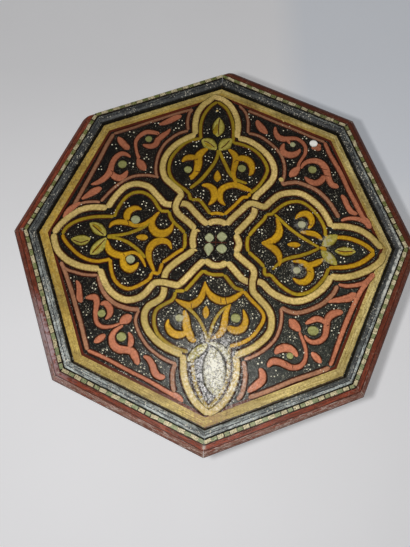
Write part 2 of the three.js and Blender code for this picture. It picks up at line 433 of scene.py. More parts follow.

# %% [markdown]
# ## The painted glare at the bottom petal
# At the foot of the bottom petal pale flecks paint the lamp's glare on the varnish, thickest in the
# middle of the patch, which is a third taller than wide, with fine dark squiggles in it. One
# group gives the mask, and the ground and every paint there use it.

# %% Group: painted glare patch
glare_patch_group, given, end = shader_group(
    "rubbed patch",
    [("Right", "value", 0.0064), ("Up", "value", -0.1440), ("Reach", "value", 0.049)],
    [("Mask", "value"), ("Lines", "value")],
)
axes = use_group(glare_patch_group, axes_group)
right = times(minus(axes["Right"], given["Right"]), 1.35)
up = minus(axes["Up"], given["Up"])
away = calc("SQRT", plus(times(right, right), times(up, up)))
near = minus(1.0, calc("DIVIDE", away, given["Reach"]))
where = place_in(glare_patch_group)
flake = remap(noise(where, 360, 5, 0.85), 0.43, 0.57)
squiggle = calc("ABSOLUTE", minus(noise(where, 250, 2, 0.6), 0.5))
lines = times(remap(squiggle, 0.018, 0.050, 1, 0), remap(near, 0.1, 0.45))
give(end, Mask=remap(plus(times(near, 1.25), minus(flake, 1.0)), 0.0, 0.35), Lines=lines)
print("group", glare_patch_group.name)

# %% [markdown]
# ## Small scuffs
# Round three of the green dots and over two leaves the paint is scuffed to a greyish beige.
# Each scuff is a ragged spot: a distance from its middle, eaten into by noise.

# %% Group: small scuffs
# places in thousandths of the drawing, and reaches in millimetres
SCUFFS = ((471, 118, 13), (444, -141, 13), (-160, -426, 13), (600, 25, 10), (612, -62, 10))
scuff_group, given, end = shader_group("small scuffs", [], [("Mask", "value")])
where = place_in(scuff_group)
near = 0.0
for right, up, reach in SCUFFS:
    away = distance(where, (*on_top(right, up), FIELD))
    near = larger(near, minus(1.0, calc("DIVIDE", away, reach * MM)))
flake = remap(noise(where, 230, 5, 0.8), 0.44, 0.58)
give(end, Mask=remap(plus(times(near, 1.3), minus(flake, 1.0)), 0.0, 0.4))
print("group", scuff_group.name, len(SCUFFS), "spots")

# %% [markdown]
# ## Paint colours
# The painter used few colours on a black ground. Each becomes one material: the aged paint
# group sets how that colour ages, and the shader's own sockets hold the varnish.

# %% Paint materials
SHALLOW = 0.12 * MM
DEEP = 0.2 * MM
PAINTED_GLARE_PALE = (0.82, 0.80, 0.72)
BROWN = (0.03, 0.02, 0.015)


def start_material(name, coat=0.14, coat_roughness=0.14, shine=0.06):
    """A new material with a worn, dull paint face under a thin varnish, and its tree."""
    material = bpy.data.materials.new(name)
    material.use_nodes = True
    tree = material.node_tree
    shader = tree.nodes["Principled BSDF"]
    shader.inputs["Specular IOR Level"].default_value = shine
    shader.inputs["Coat Weight"].default_value = coat
    shader.inputs["Coat Roughness"].default_value = coat_roughness
    return material, tree, shader


def finish_surface(shader, colour, aged, depth=SHALLOW, height=None):
    """Joins colour, roughness and a bump to the shader."""
    tree = shader.id_data
    relief = {"Height": height or aged["Height"], "Distance": depth, "Strength": 1.0}
    tree.links.new(colour, shader.inputs["Base Color"])
    tree.links.new(aged["Roughness"], shader.inputs["Roughness"])
    tree.links.new(step(tree, "ShaderNodeBump", relief), shader.inputs["Normal"])
    if shader.inputs["Coat Weight"].default_value > 0:
        tree.links.new(use_group(tree, ripple_group)[0], shader.inputs["Coat Normal"])


def age(tree, colour, dark, under, patchiness, mottle, chips, cracks, gloss):
    """Ages one colour: what it darkens to, what shows under it, and how much of each wear."""
    face = opaque(colour) if isinstance(colour, tuple) else colour
    return use_group(
        tree, aged_group, Colour=face, Dark=opaque(dark), Under=opaque(under), Patchiness=patchiness,
        Mottle=mottle, Chips=chips, Cracks=cracks, Gloss=gloss,
    )


def darker(colour, share):
    """A share of a colour's brightness."""
    return tuple(share * value for value in colour)


def stroke_colour(tree, light, dark):
    """Colour of a brush stroke: each has its own tone, bristle lines along it and dark margins."""
    tone, across, along = [
        make(tree, "ShaderNodeAttribute", attribute_name=name).outputs["Fac"]
        for name in ("tone", "across", "along")
    ]
    bristles = remap(noise(join(times(across, 0.02), times(along, 0.12), tone), 190, 3), 0.36, 0.64)
    brushed = blend(plus(times(tone, 0.42), times(bristles, 0.5)), opaque(light), opaque(dark))
    ragged = ragged_line(place_in(tree), 420, 3, 0.7, 0.9)
    margin = remap(plus(calc("ABSOLUTE", across), ragged), 0.60, 0.98, 0.0, 0.9)
    return lay(brushed, darker(dark, 0.35), margin)


def paint_material(name, light, dark, under=BROWN, patch=0.35, mottle=0.35, chips=0.3, top_soil_and_shade=0.0):
    """One colour of brushed paint, darker toward the top of the picture with soiling and painted shade, and
    darker toward the left with painted shade.
    """
    material, tree, shader = start_material(name, 0.16)
    brushed = stroke_colour(tree, light, dark)
    aged = age(tree, brushed, darker(dark, 0.5), under, patch, mottle, chips, 0.4, 0.45)
    colour, axes, soil_and_shade_tint = aged["Colour"], use_group(tree, axes_group), darker(dark, 0.4)
    # darker toward the top of the picture: partly soiling, partly painted shade where the lamp's light falls
    # off
    if top_soil_and_shade:
        colour = lay(colour, soil_and_shade_tint, remap(axes["Up"], 0.02, 0.15, 0.0, top_soil_and_shade))
    # painted shade: darker toward the left of the picture, where less light falls
    colour = lay(colour, soil_and_shade_tint, remap(axes["Right"], 0.02, -0.16, 0.0, 0.26))
    # painted glare: pale flecks at the bottom petal, and a wider faint painted glare round them; dark
    # squiggles lie in it
    rub = use_group(tree, glare_patch_group)
    colour = lay(colour, PAINTED_GLARE_PALE, rub["Mask"], 0.7)
    colour = lay(colour, (0.07, 0.06, 0.07), rub["Lines"], 0.8)
    colour = lay(colour, PAINTED_GLARE_PALE, use_group(tree, glare_patch_group, Reach=0.080)["Mask"], 0.14)
    colour = lay(colour, (0.44, 0.40, 0.28), use_group(tree, scuff_group)["Mask"], 0.6)
    finish_surface(shader, colour, aged)
    return material


# each paint: where it lies thick, where it lies thin, and how it differs from the usual wear
cream = paint_material(
    "cream paint", (0.88, 0.63, 0.255), (0.52, 0.385, 0.10),
    under=(0.12, 0.04, 0.012), mottle=0.65, patch=0.5, chips=0.45,
)
pale_cream = paint_material(
    "pale cream paint", (0.92, 0.88, 0.68), (0.66, 0.60, 0.40), under=(0.10, 0.06, 0.03), chips=0.15
)
white = paint_material(
    "spatter white", (0.96, 0.95, 0.90), (0.90, 0.87, 0.78),
    under=(0.6, 0.55, 0.45), patch=0.1, mottle=0.1, chips=0.05,
)
mustard = paint_material(
    "mustard paint", (0.50, 0.33, 0.018), (0.27, 0.185, 0.008),
    under=(0.09, 0.02, 0.006), mottle=0.55, top_soil_and_shade=0.45,
)
gold = paint_material(
    "gold paint", (0.76, 0.43, 0.016), (0.39, 0.20, 0.006),
    under=(0.14, 0.03, 0.006), mottle=0.55, top_soil_and_shade=0.35,
)
salmon = paint_material(
    "salmon paint", (0.70, 0.26, 0.135), (0.40, 0.125, 0.06),
    under=(0.09, 0.02, 0.012), mottle=0.55, top_soil_and_shade=0.4,
)
salmon_line = paint_material(
    "salmon line", (0.54, 0.255, 0.14), (0.27, 0.12, 0.06),
    under=(0.06, 0.02, 0.012), mottle=0.55, top_soil_and_shade=0.35,
)
olive = paint_material(
    "olive paint", (0.60, 0.51, 0.12), (0.30, 0.25, 0.03),
    under=(0.07, 0.04, 0.01), mottle=0.55, top_soil_and_shade=0.2,
)
# a paler, much chipped leaf colour: a painted highlight of the lamp's glare
glare_leaf = paint_material(
    "leaf paint with painted glare", (0.72, 0.64, 0.36), (0.42, 0.38, 0.18),
    under=(0.04, 0.04, 0.03), chips=0.8, mottle=0.7,
)
pale_green = paint_material(
    "pale green paint", (0.42, 0.42, 0.16), (0.26, 0.26, 0.08),
    under=(0.06, 0.06, 0.03), mottle=0.6, top_soil_and_shade=0.35,
)
grey_green = paint_material(
    "grey green paint", (0.48, 0.49, 0.28), (0.31, 0.32, 0.16), under=(0.06, 0.06, 0.03), mottle=0.5
)
maroon = paint_material("maroon paint", (0.14, 0.022, 0.006), (0.055, 0.011, 0.004), chips=0.25)
print("paints", [m.name for m in bpy.data.materials if "paint" in m.name])

# %% [markdown]
# ## The black ground
# The field was painted black before any line was drawn on it. It shows dark brown where it is
# thin, and pale specks all over. It is a skin of paint over the three boards, so that it hides
# their joints, as the real one does. Specks and a pale film gather toward the lower right of
# the picture, the film partly dust and partly painted sheen of the lamp, and the black stays
# deepest at the upper left. Near the bottom petal pale flecks paint the lamp's glare.

# %% Material: black ground
ground, tree, shader = start_material("black ground", coat=0.24, coat_roughness=0.12, shine=0.02)
aged = age(
    tree, (0.0030, 0.0032, 0.0030), (0.009, 0.006, 0.004), (0.10, 0.075, 0.045),
    patchiness=0.7, mottle=0.5, chips=0.30, cracks=0.3, gloss=0.42,
)
small = use_group(tree, speck_group, Number=820.0, Share=0.55, Size=0.38)[0]
large = use_group(tree, speck_group, Number=300.0, Share=0.20, Size=0.26)[0]
where = place_in(tree)
axes = use_group(tree, axes_group)
dusty_side = remap(minus(times(axes["Right"], 0.45), axes["Up"]), -0.08, 0.13, 0.14, 1.0)
zones = remap(noise(where, 26, 2), 0.38, 0.6, 0.25, 1)
specks = times(times(larger(small, large), zones), dusty_side)
# a pale film toward the lower right of the picture: partly dust, partly painted sheen of the lamp
toward = minus(times(axes["Right"], 0.55), times(axes["Up"], 0.85))
wiped = remap(noise(where, 330, 4, 0.75), 0.40, 0.62, 0.25, 1.0)
dust_and_sheen = times(times(remap(toward, 0.01, 0.17), wiped), 0.6)
colour = lay(lay(aged["Colour"], (0.062, 0.070, 0.056), dust_and_sheen), (0.70, 0.66, 0.50), specks)
# painted glare: pale flecks at the bottom petal, and a wider faint painted glare round them; dark squiggles
# lie in it
rub = use_group(tree, glare_patch_group)
colour = lay(colour, (0.70, 0.68, 0.68), rub["Mask"], 0.8)
colour = lay(colour, (0.035, 0.03, 0.04), rub["Lines"], 0.8)
colour = lay(colour, (0.62, 0.60, 0.52), use_group(tree, glare_patch_group, Reach=0.085)["Mask"], 0.11)
colour = lay(colour, (0.40, 0.38, 0.34), use_group(tree, scuff_group)["Mask"], 0.26)
finish_surface(shader, colour, aged, height=plus(aged["Height"], specks))
print("material", ground.name)

# %% [markdown]
# ## Wood that shows and wood that is painted
# One board or panel is painted on the face that shows and bare on the others. The material
# looks at how far out or how high a point lies and chooses between cedar and paint, so the
# edge between them lies exactly on the arris of the piece.

# %% Material: cedar and iron
UPRIGHT = (1.0, 1.0, 0.06)
ALONG_X = (0.06, 1.0, 1.0)
ALONG_Y = (1.0, 0.06, 1.0)


def cedar_material(name, stretch):
    """Bare cedar with its grain along one direction."""
    material, tree, shader = start_material(name, coat=0.0)
    wood = use_group(tree, wood_group, Stretch=stretch)
    finish_surface(shader, wood["Colour"], wood, DEEP)
    return material


cedar_upright = cedar_material("cedar upright", UPRIGHT)
cedar_batten = cedar_material("cedar batten", ALONG_Y)
cedar_board = cedar_material("cedar board", ALONG_X)

iron, tree, shader = start_material("old iron", coat=0.0)
aged = age(
    tree, (0.10, 0.085, 0.075), (0.05, 0.035, 0.03), (0.16, 0.06, 0.02),
    patchiness=0.6, mottle=0.6, chips=0.6, cracks=0.2, gloss=0.5,
)
shader.inputs["Metallic"].default_value = 0.7
finish_surface(shader, aged["Colour"], aged)
print("bare materials ready")

# %% [markdown]
# ## The rim's own finishes
# The bead is a glossy black, rubbed grey along its crown; the grey is partly wear and partly a
# painted reflection of the lamp, strongest toward the bottom and the right of the picture. The
# moulding outside is red, worn to a greyish pink on its slope, most of all on the side nearest
# the eye. Scratches and brush lines lie along the rim, so their noise is
# drawn out in that direction.

# %% Streaks along the rim


def rim_streaks(rim, across, along, detail, rough):
    """Noise drawn out along the rim. Across and along say how many streaks fit in a metre."""
    place = join(times(rim["Out"], across), times(rim["Along"], along), times(rim["Side"], 7.3))
    return noise(place, 1.0, detail, rough)


print("streak helper ready")

# %% Material: lip
# its outer face shows on the one side whose moulding is lost: bare wood, glue and a nail hole
lip_paint, tree, shader = start_material("lip paint", coat=0.1)
rim = use_group(tree, rim_group)
aged = age(
    tree, (0.028, 0.018, 0.010), (0.012, 0.008, 0.006), (0.20, 0.16, 0.09),
    patchiness=0.6, mottle=0.6, chips=0.3, cracks=0.4, gloss=0.42,
)
outside = remap(rim["Out"], LIP_OUT - 0.25 * MM, LIP_OUT - 0.1 * MM)
where = place_in(tree)
grain = remap(noise(join(times(rim["Height"], 1400), times(rim["Along"], 40)), 1.0, 4, 0.65), 0.34, 0.66)
bare_wood = blend(grain, (0.30, 0.18, 0.09, 1), (0.13, 0.07, 0.035, 1))
glue = remap(noise(where, 90, 4, 0.7), 0.54, 0.60, 0.0, 0.7)
bare_wood = lay(bare_wood, (0.42, 0.34, 0.20), glue)
from_top = minus(LIP_TOP, rim["Height"])
uneven = times(noise(where, 120, 3), 4.0 * MM)
red_edge = remap(minus(from_top, uneven), 0.2 * MM, -0.6 * MM, 0.0, 0.9)
bare_wood = lay(bare_wood, (0.085, 0.022, 0.014), red_edge)
nail_low, nail_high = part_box("moulding_nail_5")
bare_angle = (BARE_SIDE - 1) * EIGHTH
hole = LIP_OUT * Vector((math.cos(bare_angle), math.sin(bare_angle)))
hole_away = distance(where, (*hole, 0.5 * (nail_low.z + nail_high.z)))
bare_wood = lay(bare_wood, (0.008, 0.006, 0.005), remap(hole_away, 1.5 * MM, 1.0 * MM))
finish_surface(shader, blend(outside, aged["Colour"], bare_wood), aged)
print("material", lip_paint.name)

# %% Material: border band
# paler at the right, ochre at the left and along the inner edge, and dark at the foot of the bead, partly
# wear and partly painted shade
band_paint, tree, shader = start_material("band paint")
rim = use_group(tree, rim_group)
where = place_in(tree)
axes = use_group(tree, axes_group)
streaks = remap(rim_streaks(rim, 900, 45, 4, 0.65), 0.36, 0.66)
pale = blend(remap(axes["Right"], 0.02, 0.17), (0.76, 0.58, 0.20, 1), (1.0, 0.82, 0.36, 1))
brushed = lay(pale, (0.34, 0.25, 0.05), streaks)
left_side = remap(axes["Right"], -0.12, -0.17, 0.0, 0.8)
inner_strip = remap(rim["Out"], BEAD_IN - 6.2 * MM, BEAD_IN - 7.4 * MM, 0.0, 0.75)
inner_strip = times(inner_strip, remap(axes["Up"], -0.12, 0.02, 0.15, 1.0))
patches = remap(noise(where, 200, 4, 0.7), 0.36, 0.54, 0.25, 1.0)
brushed = lay(brushed, (0.50, 0.30, 0.035), times(larger(left_side, inner_strip), patches))
aged = age(
    tree, brushed, (0.14, 0.09, 0.025), (0.05, 0.022, 0.012),
    patchiness=0.5, mottle=0.6, chips=0.55, cracks=0.6, gloss=0.45,
)
edge = plus(rim["Out"], ragged_line(where, 300, 4, 0.7, 2.2 * MM))
# dark at the foot of the bead: partly wear, partly painted shade where the bead meets the band
bead_foot_wear_and_shade = remap(edge, BEAD_IN - 1.5 * MM, BEAD_IN - 1.1 * MM)
colour = lay(aged["Colour"], (0.020, 0.012, 0.008), bead_foot_wear_and_shade, 0.92)
corner_away = distance(where, (*on_top(6, -895), FIELD))
bared = times(remap(corner_away, 0.026, 0.010), remap(noise(where, 300, 4, 0.75), 0.44, 0.54))
finish_surface(shader, lay(colour, (0.30, 0.15, 0.08), bared, 0.5), aged)
print("material", band_paint.name)

# %% Material: bead
bead_paint, tree, shader = start_material("bead paint", coat=0.16, coat_roughness=0.25, shine=0.10)
rim = use_group(tree, rim_group)
where = place_in(tree)
axes = use_group(tree, axes_group)
aged = age(
    tree, (0.006, 0.007, 0.008), (0.028, 0.028, 0.030), (0.24, 0.23, 0.19),
    patchiness=0.6, mottle=0.7, chips=0.42, cracks=0.8, gloss=0.42,
)
# grey in two strips along the crown, partly rubbed wear and partly a painted reflection of the lamp, most
# toward the bottom of the picture and toward the right
paler_where = remap(axes["Up"], 0.04, -0.12, 0.14, 1.0)
long_streaks = remap(rim_streaks(rim, 900, 110, 5, 0.8), 0.43, 0.57)
blotches = remap(noise(where, 430, 5, 0.85), 0.43, 0.56)
long_patches = remap(noise(where, 45, 2), 0.42, 0.58, 0.45, 1.0)
rubbed = times(plus(long_streaks, blotches), times(long_patches, 0.7))
edge = plus(rim["Out"], ragged_line(where, 320, 4, 0.75, 1.6 * MM))
inner_strip = remap(edge, BEAD_IN + 0.9 * MM, BEAD_IN + 1.3 * MM)
inner_strip = times(inner_strip, remap(axes["Right"], 0.05, 0.12, 0.85, 0.2))
strips = times(inner_strip, remap(edge, BEAD_IN + 4.6 * MM, BEAD_IN + 4.2 * MM))
strips = larger(strips, remap(edge, BEAD_IN + 5.1 * MM, BEAD_IN + 5.5 * MM))
paler_where = larger(paler_where, remap(axes["Right"], 0.06, 0.18, 0.0, 0.7))
colour = lay(aged["Colour"], (0.46, 0.50, 0.47), times(times(rubbed, strips), paler_where))
scratch = remap(rim_streaks(rim, 1500, 45, 3, 0.7), 0.54, 0.58, 0.0, 0.75)
colour = lay(colour, (0.012, 0.012, 0.012), scratch)
# painted glint: near one corner, at the right of the picture, the outer half of the bead is pale
corner_away = distance(where, (0.192, 0.055, LIP_TOP))
glint_corner = times(remap(corner_away, 0.062, 0.026), remap(noise(where, 260, 4, 0.75), 0.40, 0.54))
glint_corner = times(glint_corner, remap(rim["Out"], BEAD_IN + 4.0 * MM, BEAD_IN + 5.0 * MM))
colour = lay(colour, (0.64, 0.64, 0.57), glint_corner, 0.85)
flecks = use_group(tree, speck_group, Number=620.0, Share=0.62, Size=0.40)[0]
patches = remap(noise(where, 60, 3), 0.40, 0.54, 0.12, 1.0)
colour = lay(colour, (0.62, 0.58, 0.47), times(flecks, patches))
# dark lines where it meets the field and the lip; the one at the field is partly a dark line and partly
# painted shade at the bead's foot
dark_line_and_shade_at_field = remap(rim["Out"], BEAD_IN + 1.0 * MM, BEAD_IN + 0.6 * MM)
at_lip = remap(rim["Out"], BEAD_OUT - 0.7 * MM, BEAD_OUT - 0.4 * MM)
colour = lay(colour, (0.004, 0.004, 0.0035), larger(dark_line_and_shade_at_field, at_lip), 0.92)
finish_surface(shader, colour, aged, DEEP)
print("material", bead_paint.name)

# %% Material: moulding
moulding_paint, tree, shader = start_material("moulding paint", coat=0.12)
rim = use_group(tree, rim_group)
where = place_in(tree)
x, y, high = split(where)
aged = age(
    tree, (0.112, 0.026, 0.011), (0.045, 0.013, 0.008), (0.30, 0.21, 0.15),
    patchiness=0.5, mottle=0.6, chips=0.38, cracks=0.4, gloss=0.42,
)
# brighter red scratches toward the bottom of the picture and at the left, and muddy and then grey on the
# slope toward the bottom
paler_where = remap(plus(times(x, -0.18), times(y, 0.95)), 0.06, -0.15)
crease = MOULD_IN + 5.3 * MM
slope = remap(rim["Out"], crease, crease + 0.6 * MM)
scratches = rim_streaks(rim, 900, 70, 5, 0.8)
on_the_left = remap(x, -0.12, -0.20, 0.0, 0.7)
kept_red = plus(larger(times(paler_where, 0.7), on_the_left), 0.05)
colour = lay(aged["Colour"], (0.32, 0.062, 0.030), times(remap(scratches, 0.45, 0.60), kept_red))
much = remap(paler_where, 0.70, 1.0, 0.0, 0.85)
muddy = remap(rim_streaks(rim, 700, 35, 3, 0.6), 0.36, 0.60)
colour = lay(colour, (0.24, 0.145, 0.11), times(slope, times(muddy, much)))
fine_lines = remap(rim_streaks(rim, 1300, 150, 5, 0.85), 0.53, 0.60)
grey = times(plus(times(slope, 0.92), 0.04), times(fine_lines, plus(much, 0.10)))
colour = lay(colour, (0.62, 0.53, 0.47), grey)
# one bruise at the lower left of the picture, and bare wood at chipped corners
bruise_away = distance(where, (-0.115, -0.180, LIP_TOP))
bruise = times(remap(bruise_away, 0.060, 0.020), remap(noise(where, 220, 4, 0.7), 0.36, 0.54))
colour = lay(colour, (0.36, 0.27, 0.28), bruise, 0.85)
to_corner = minus(times(rim["Out"], math.tan(HALF_SIDE)), calc("ABSOLUTE", rim["Along"]))
chipped = remap(noise(where, 240, 4, 0.75), 0.48, 0.56, 0.0, 0.65)
chipped = times(chipped, remap(to_corner, 3.0 * MM, 0.6 * MM))
colour = lay(colour, (0.52, 0.44, 0.37), chipped)
# dark lines in the crease and at both edges
at_crease = remap(calc("ABSOLUTE", minus(rim["Out"], crease)), 0.55 * MM, 0.2 * MM)
colour = lay(colour, (0.022, 0.008, 0.006), at_crease, 0.85)
inside = remap(rim["Out"], MOULD_IN + 0.9 * MM, MOULD_IN + 0.4 * MM)
colour = lay(colour, (0.018, 0.008, 0.006), inside, 0.85)
outer = remap(rim["Out"], MOULD_OUT - 1.0 * MM, MOULD_OUT - 0.3 * MM)
finish_surface(shader, lay(colour, (0.030, 0.012, 0.010), outer, 0.7), aged, DEEP)
print("material", moulding_paint.name)

# %% Material: side panels
panel_paint, tree, shader = start_material("panel paint")
rim = use_group(tree, rim_group)
aged = age(
    tree, (0.014, 0.014, 0.013), (0.035, 0.020, 0.014), (0.12, 0.08, 0.05),
    patchiness=0.7, mottle=0.5, chips=0.35, cracks=0.4, gloss=0.38,
)
specks = use_group(tree, speck_group, Number=300.0, Share=0.22, Size=0.26)[0]
wood = use_group(tree, wood_group, Stretch=UPRIGHT)
front = remap(rim["Out"], PANEL_OUT - 0.5 * MM, PANEL_OUT - 0.3 * MM)
painted = lay(aged["Colour"], (0.33, 0.29, 0.21), specks, 0.7)
# paint is lost first along the mitred edges and at the feet
to_edge = minus(times(rim["Out"], math.tan(HALF_SIDE)), calc("ABSOLUTE", rim["Along"]))
exposed = larger(remap(to_edge, 2.5 * MM, 0.2 * MM), remap(rim["Height"], 22 * MM, 2 * MM))
chance = plus(times(exposed, 0.30), noise(place_in(tree), 130, 5, 0.75))
painted = lay(painted, (0.20, 0.12, 0.06), remap(chance, 0.74, 0.78, 0.0, 0.85))
finish_surface(shader, blend(front, wood["Colour"], painted), aged)
print("material", panel_paint.name)

# %% [markdown]
# ## Dress the construction
# Each solid of the construction keeps its shape, and only gets a finish.

# %% Dress the solids
FINISH_FOR = {
    "top_board": cedar_board,
    "lip_strip": lip_paint,
    "bead_strip": bead_paint,
    "outer_moulding": moulding_paint,
    "side_panel": panel_paint,
    "corner_block": cedar_upright,
    "batten": cedar_batten,
    "top_nail": iron,
    "moulding_nail": iron,
}
dressed = 0
for name, solid in nodes.items():
    for start, finish in FINISH_FOR.items():
        if name.startswith(start):
            solid.data.materials.clear()
            solid.data.materials.append(finish)
            dressed += 1
print("dressed", dressed, "of", len(nodes))

# %% [markdown]
# ## A brush stroke as geometry
# A painted line is a path with a width that swells and narrows, a flat underside and a soft
# crown. The tree below takes a mesh of bare edges as the path, smooths it, rounds both ends,
# sweeps an outline along it, and then sets the height of every point from where it lies on
# that outline. Each stroke gets a tone of its own, and stands a hair higher or lower than its
# neighbours, so that crossing strokes never share one surface.

# %% Geometry tree: brush stroke


def geometry_group(name, inputs):
    """A geometry tree: the tree, its geometry and named sizes, and the end that takes its result."""
    whole = [("Geometry", "geometry", None), *inputs]
    tree, start, end = new_group(name, "GeometryNodeTree", whole, [("Geometry", "geometry")])
    return tree, start.outputs, end


def keep_value(geometry, name, value):
    """Stores one number on every point under a name that materials can read."""
    inputs = {"Geometry": geometry, "Name": name, "Value": value}
    kind = "GeometryNodeStoreNamedAttribute"
    return step(tree_of(geometry), kind, inputs, data_type="FLOAT", domain="POINT")


def read_value(tree, name):
    """Reads a number stored on the points."""
    return step(tree, "GeometryNodeInputNamedAttribute", {"Name": name}, data_type="FLOAT")


def hand_out(end, shape, paint):
    """Ends a tree: its copies become real faces, take their paint and leave the tree."""
    tree = end.id_data
    solid = step(tree, "GeometryNodeRealizeInstances", {0: shape})
    give(end, Geometry=step(tree, "GeometryNodeSetMaterial", {"Geometry": solid, "Material": paint}))


brush_tree, size, end = geometry_group(
    "brush stroke",
    [
        ("Step", "value", 1.2 * MM),
        ("Widen", "value", 0.0),
        ("Bottom", "value", 0.0),
        ("Level", "value", 0.2 * MM),
        ("Crown", "value", 0.08 * MM),
        ("Stagger", "value", 0.03 * MM),
        ("Wobble", "value", 0.22),
        ("Seed", "count", 1),
        ("Paint", "material", None),
    ],
)
tree = brush_tree
path = step(tree, "GeometryNodeMeshToCurve", {"Mesh": size["Geometry"]})
path = step(tree, "GeometryNodeCurveSplineType", {"Curve": path}, spline_type="CATMULL_ROM")
path = step(tree, "GeometryNodeSetSplineResolution", {0: path, "Resolution": 10})
path = step(tree, "GeometryNodeResampleCurve", {"Curve": path, "Length": size["Step"]}, mode="LENGTH")
path = step(tree, "GeometryNodeSetCurveNormal", {"Curve": path}, mode="Z_UP")
travelled = make(tree, "GeometryNodeSplineParameter").outputs["Length"]
whole = make(tree, "GeometryNodeSplineLength").outputs["Length"]
number = make(tree, "GeometryNodeCurveOfPoint").outputs["Curve Index"]
dice = make(tree, "FunctionNodeRandomValue", {"ID": number, "Seed": size["Seed"]}, data_type="FLOAT")
path = keep_value(keep_value(path, "along", travelled), "tone", dice.outputs[1])
# each end is rounded over one half width, and the hand that draws sways a little
half = plus(read_value(tree, "half_width"), size["Widen"])
from_end = calc("MINIMUM", travelled, minus(whole, travelled))
short = minus(1.0, calc("MINIMUM", calc("DIVIDE", from_end, half), 1.0))
rounding = calc("SQRT", larger(minus(1.0, times(short, short)), 0.0))
hand = {"W": times(size["Seed"], 3.7), "Scale": 230.0, "Detail": 2.0}
unsteady = step(tree, "ShaderNodeTexNoise", hand, noise_dimensions="4D")
sway = plus(1.0, times(minus(unsteady, 0.5), size["Wobble"]))
path = keep_value(path, "width", times(times(half, sway), larger(rounding, 0.03)))
outline = step(tree, "GeometryNodeCurvePrimitiveCircle", {"Resolution": 8, "Radius": 1.0})
corner = split(step(tree, "GeometryNodeInputPosition"))
outline = keep_value(keep_value(outline, "across", corner[0]), "lift", corner[1])
sweep = {"Curve": path, "Profile Curve": outline, "Scale": read_value(tree, "width"), "Fill Caps": True}
swept = step(tree, "GeometryNodeCurveToMesh", sweep)
# the upper half of the outline becomes the crown and the lower half the flat underside
x, y, high = split(step(tree, "GeometryNodeInputPosition"))
lift = read_value(tree, "lift")
soft = calc("SQRT", larger(lift, 0.0))
top = plus(size["Level"], times(soft, size["Crown"]))
top = plus(top, times(read_value(tree, "tone"), size["Stagger"]))
rise = times(calc("GREATER_THAN", lift, -0.01), minus(top, size["Bottom"]))
place = join(x, y, plus(size["Bottom"], rise))
shaped = step(tree, "GeometryNodeSetPosition", {"Geometry": swept, "Position": place})
hand_out(end, step(tree, "GeometryNodeSetShadeSmooth", {0: shaped}), size["Paint"])
print("tree", brush_tree.name)

# %% [markdown]
# ## From a tree to a plain piece
# A modifier that runs a tree is only a recipe. This helper sets the recipe's inputs, lets
# Blender work the shape out once, keeps that shape as an ordinary mesh and drops the recipe,
# so what is left is a plain piece like any other.

# %% Run a tree
made = {}


def run_tree(name, mesh, tree, inputs):
    """Evaluates a geometry tree on a mesh and returns the plain mesh object it makes."""
    holder = add_object(name, mesh)
    recipe = holder.modifiers.new("recipe", "NODES")
    recipe.node_group = tree
    for socket in tree.interface.items_tree:
        if socket.item_type == "SOCKET" and socket.in_out == "INPUT" and socket.name in inputs:
            recipe[socket.identifier] = inputs[socket.name]
    graph = bpy.context.evaluated_depsgraph_get()
    result = bpy.data.meshes.new_from_object(
        holder.evaluated_get(graph), preserve_all_data_layers=True, depsgraph=graph
    )
    holder.modifiers.remove(recipe)
    holder.data = result
    result.name = name
    return holder


def settle(piece):
    """The finished piece belongs to the stool's one body, and its triangles are counted."""
    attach(piece, "root")
    made[piece.name] = sum(len(face.vertices) - 2 for face in piece.data.polygons)
    return piece


def strokes_of(half, paths):
    """Strokes from paths. A point with no half width of its own gets this one."""
    return [[point if len(point) == 3 else (*point, half) for point in path] for path in paths]


def plain_mesh(name, corners, edges, faces):
    """A mesh from bare corners, edges and faces."""
    mesh = bpy.data.meshes.new(name)
    mesh.from_pydata(corners, edges, faces)
    return mesh


def path_mesh(name, strokes, place, unit):
    """Bare edges for the brush. A stroke is a list of points: right, up and half width."""
    corners, edges, halves = [], [], []
    for stroke in strokes:
        for index, (x, y, half) in enumerate(stroke):
            if index:
                edges.append((len(corners) - 1, len(corners)))
            corners.append((*place(x, y), 0.0))
            halves.append(half * unit)
    mesh = plain_mesh(name, corners, edges, [])
    widths = mesh.attributes.new("half_width", "FLOAT", "POINT")
    widths.data.foreach_set("value", halves)
    return mesh


SKIN = 0.12 * MM
UNDERSIDE = FIELD + 0.5 * SKIN


def brush(name, strokes, paint, level, crown=0.08, widen=0.0, step=1.2, stagger=0.03, seed=1):
    """Paints strokes on the field. Level and crown are millimetres above the boards."""
    mesh = path_mesh(name, strokes, on_top, THOUSANDTH)
    sizes = {
        "Step": step * MM, "Widen": widen * MM, "Bottom": UNDERSIDE, "Level": FIELD + level * MM,
        "Crown": crown * MM, "Stagger": stagger * MM, "Seed": seed, "Paint": paint,
    }
    piece = settle(run_tree(name, mesh, brush_tree, sizes))
    print(name, len(strokes), "strokes", made[piece.name], "triangles")


def paint_edge(name, strokes, widen, seed, level=0.14, crown=0.01):
    """The dark red line along both edges of strokes: the same strokes, wider and lower down."""
    brush(name + "_edge", strokes, maroon, level, crown, widen=widen, seed=seed)


# %% [markdown]
# ## The ground skin and the border band
# The black ground is a thin eight-sided sheet over the boards, ending where the bead sits. A
# cream band runs round it against the bead, with a thin dark red line inside.

# %% Ground skin and band


def octagon_corner(reach, number):
    """One corner of an octagon whose flats lie `reach` from the middle."""
    angle = number * EIGHTH + HALF_SIDE
    length = reach / math.cos(HALF_SIDE)
    return length * math.cos(angle), length * math.sin(angle)


def slab(name, rings, faces, paint):
    """A closed shape from rings of eight corners, each ring given as (reach, height)."""
    corners = [(*octagon_corner(reach, n), high) for reach, high in rings for n in range(8)]
    mesh = plain_mesh(name, corners, [], faces)
    mesh.materials.append(paint)
    settle(add_object(name, mesh))


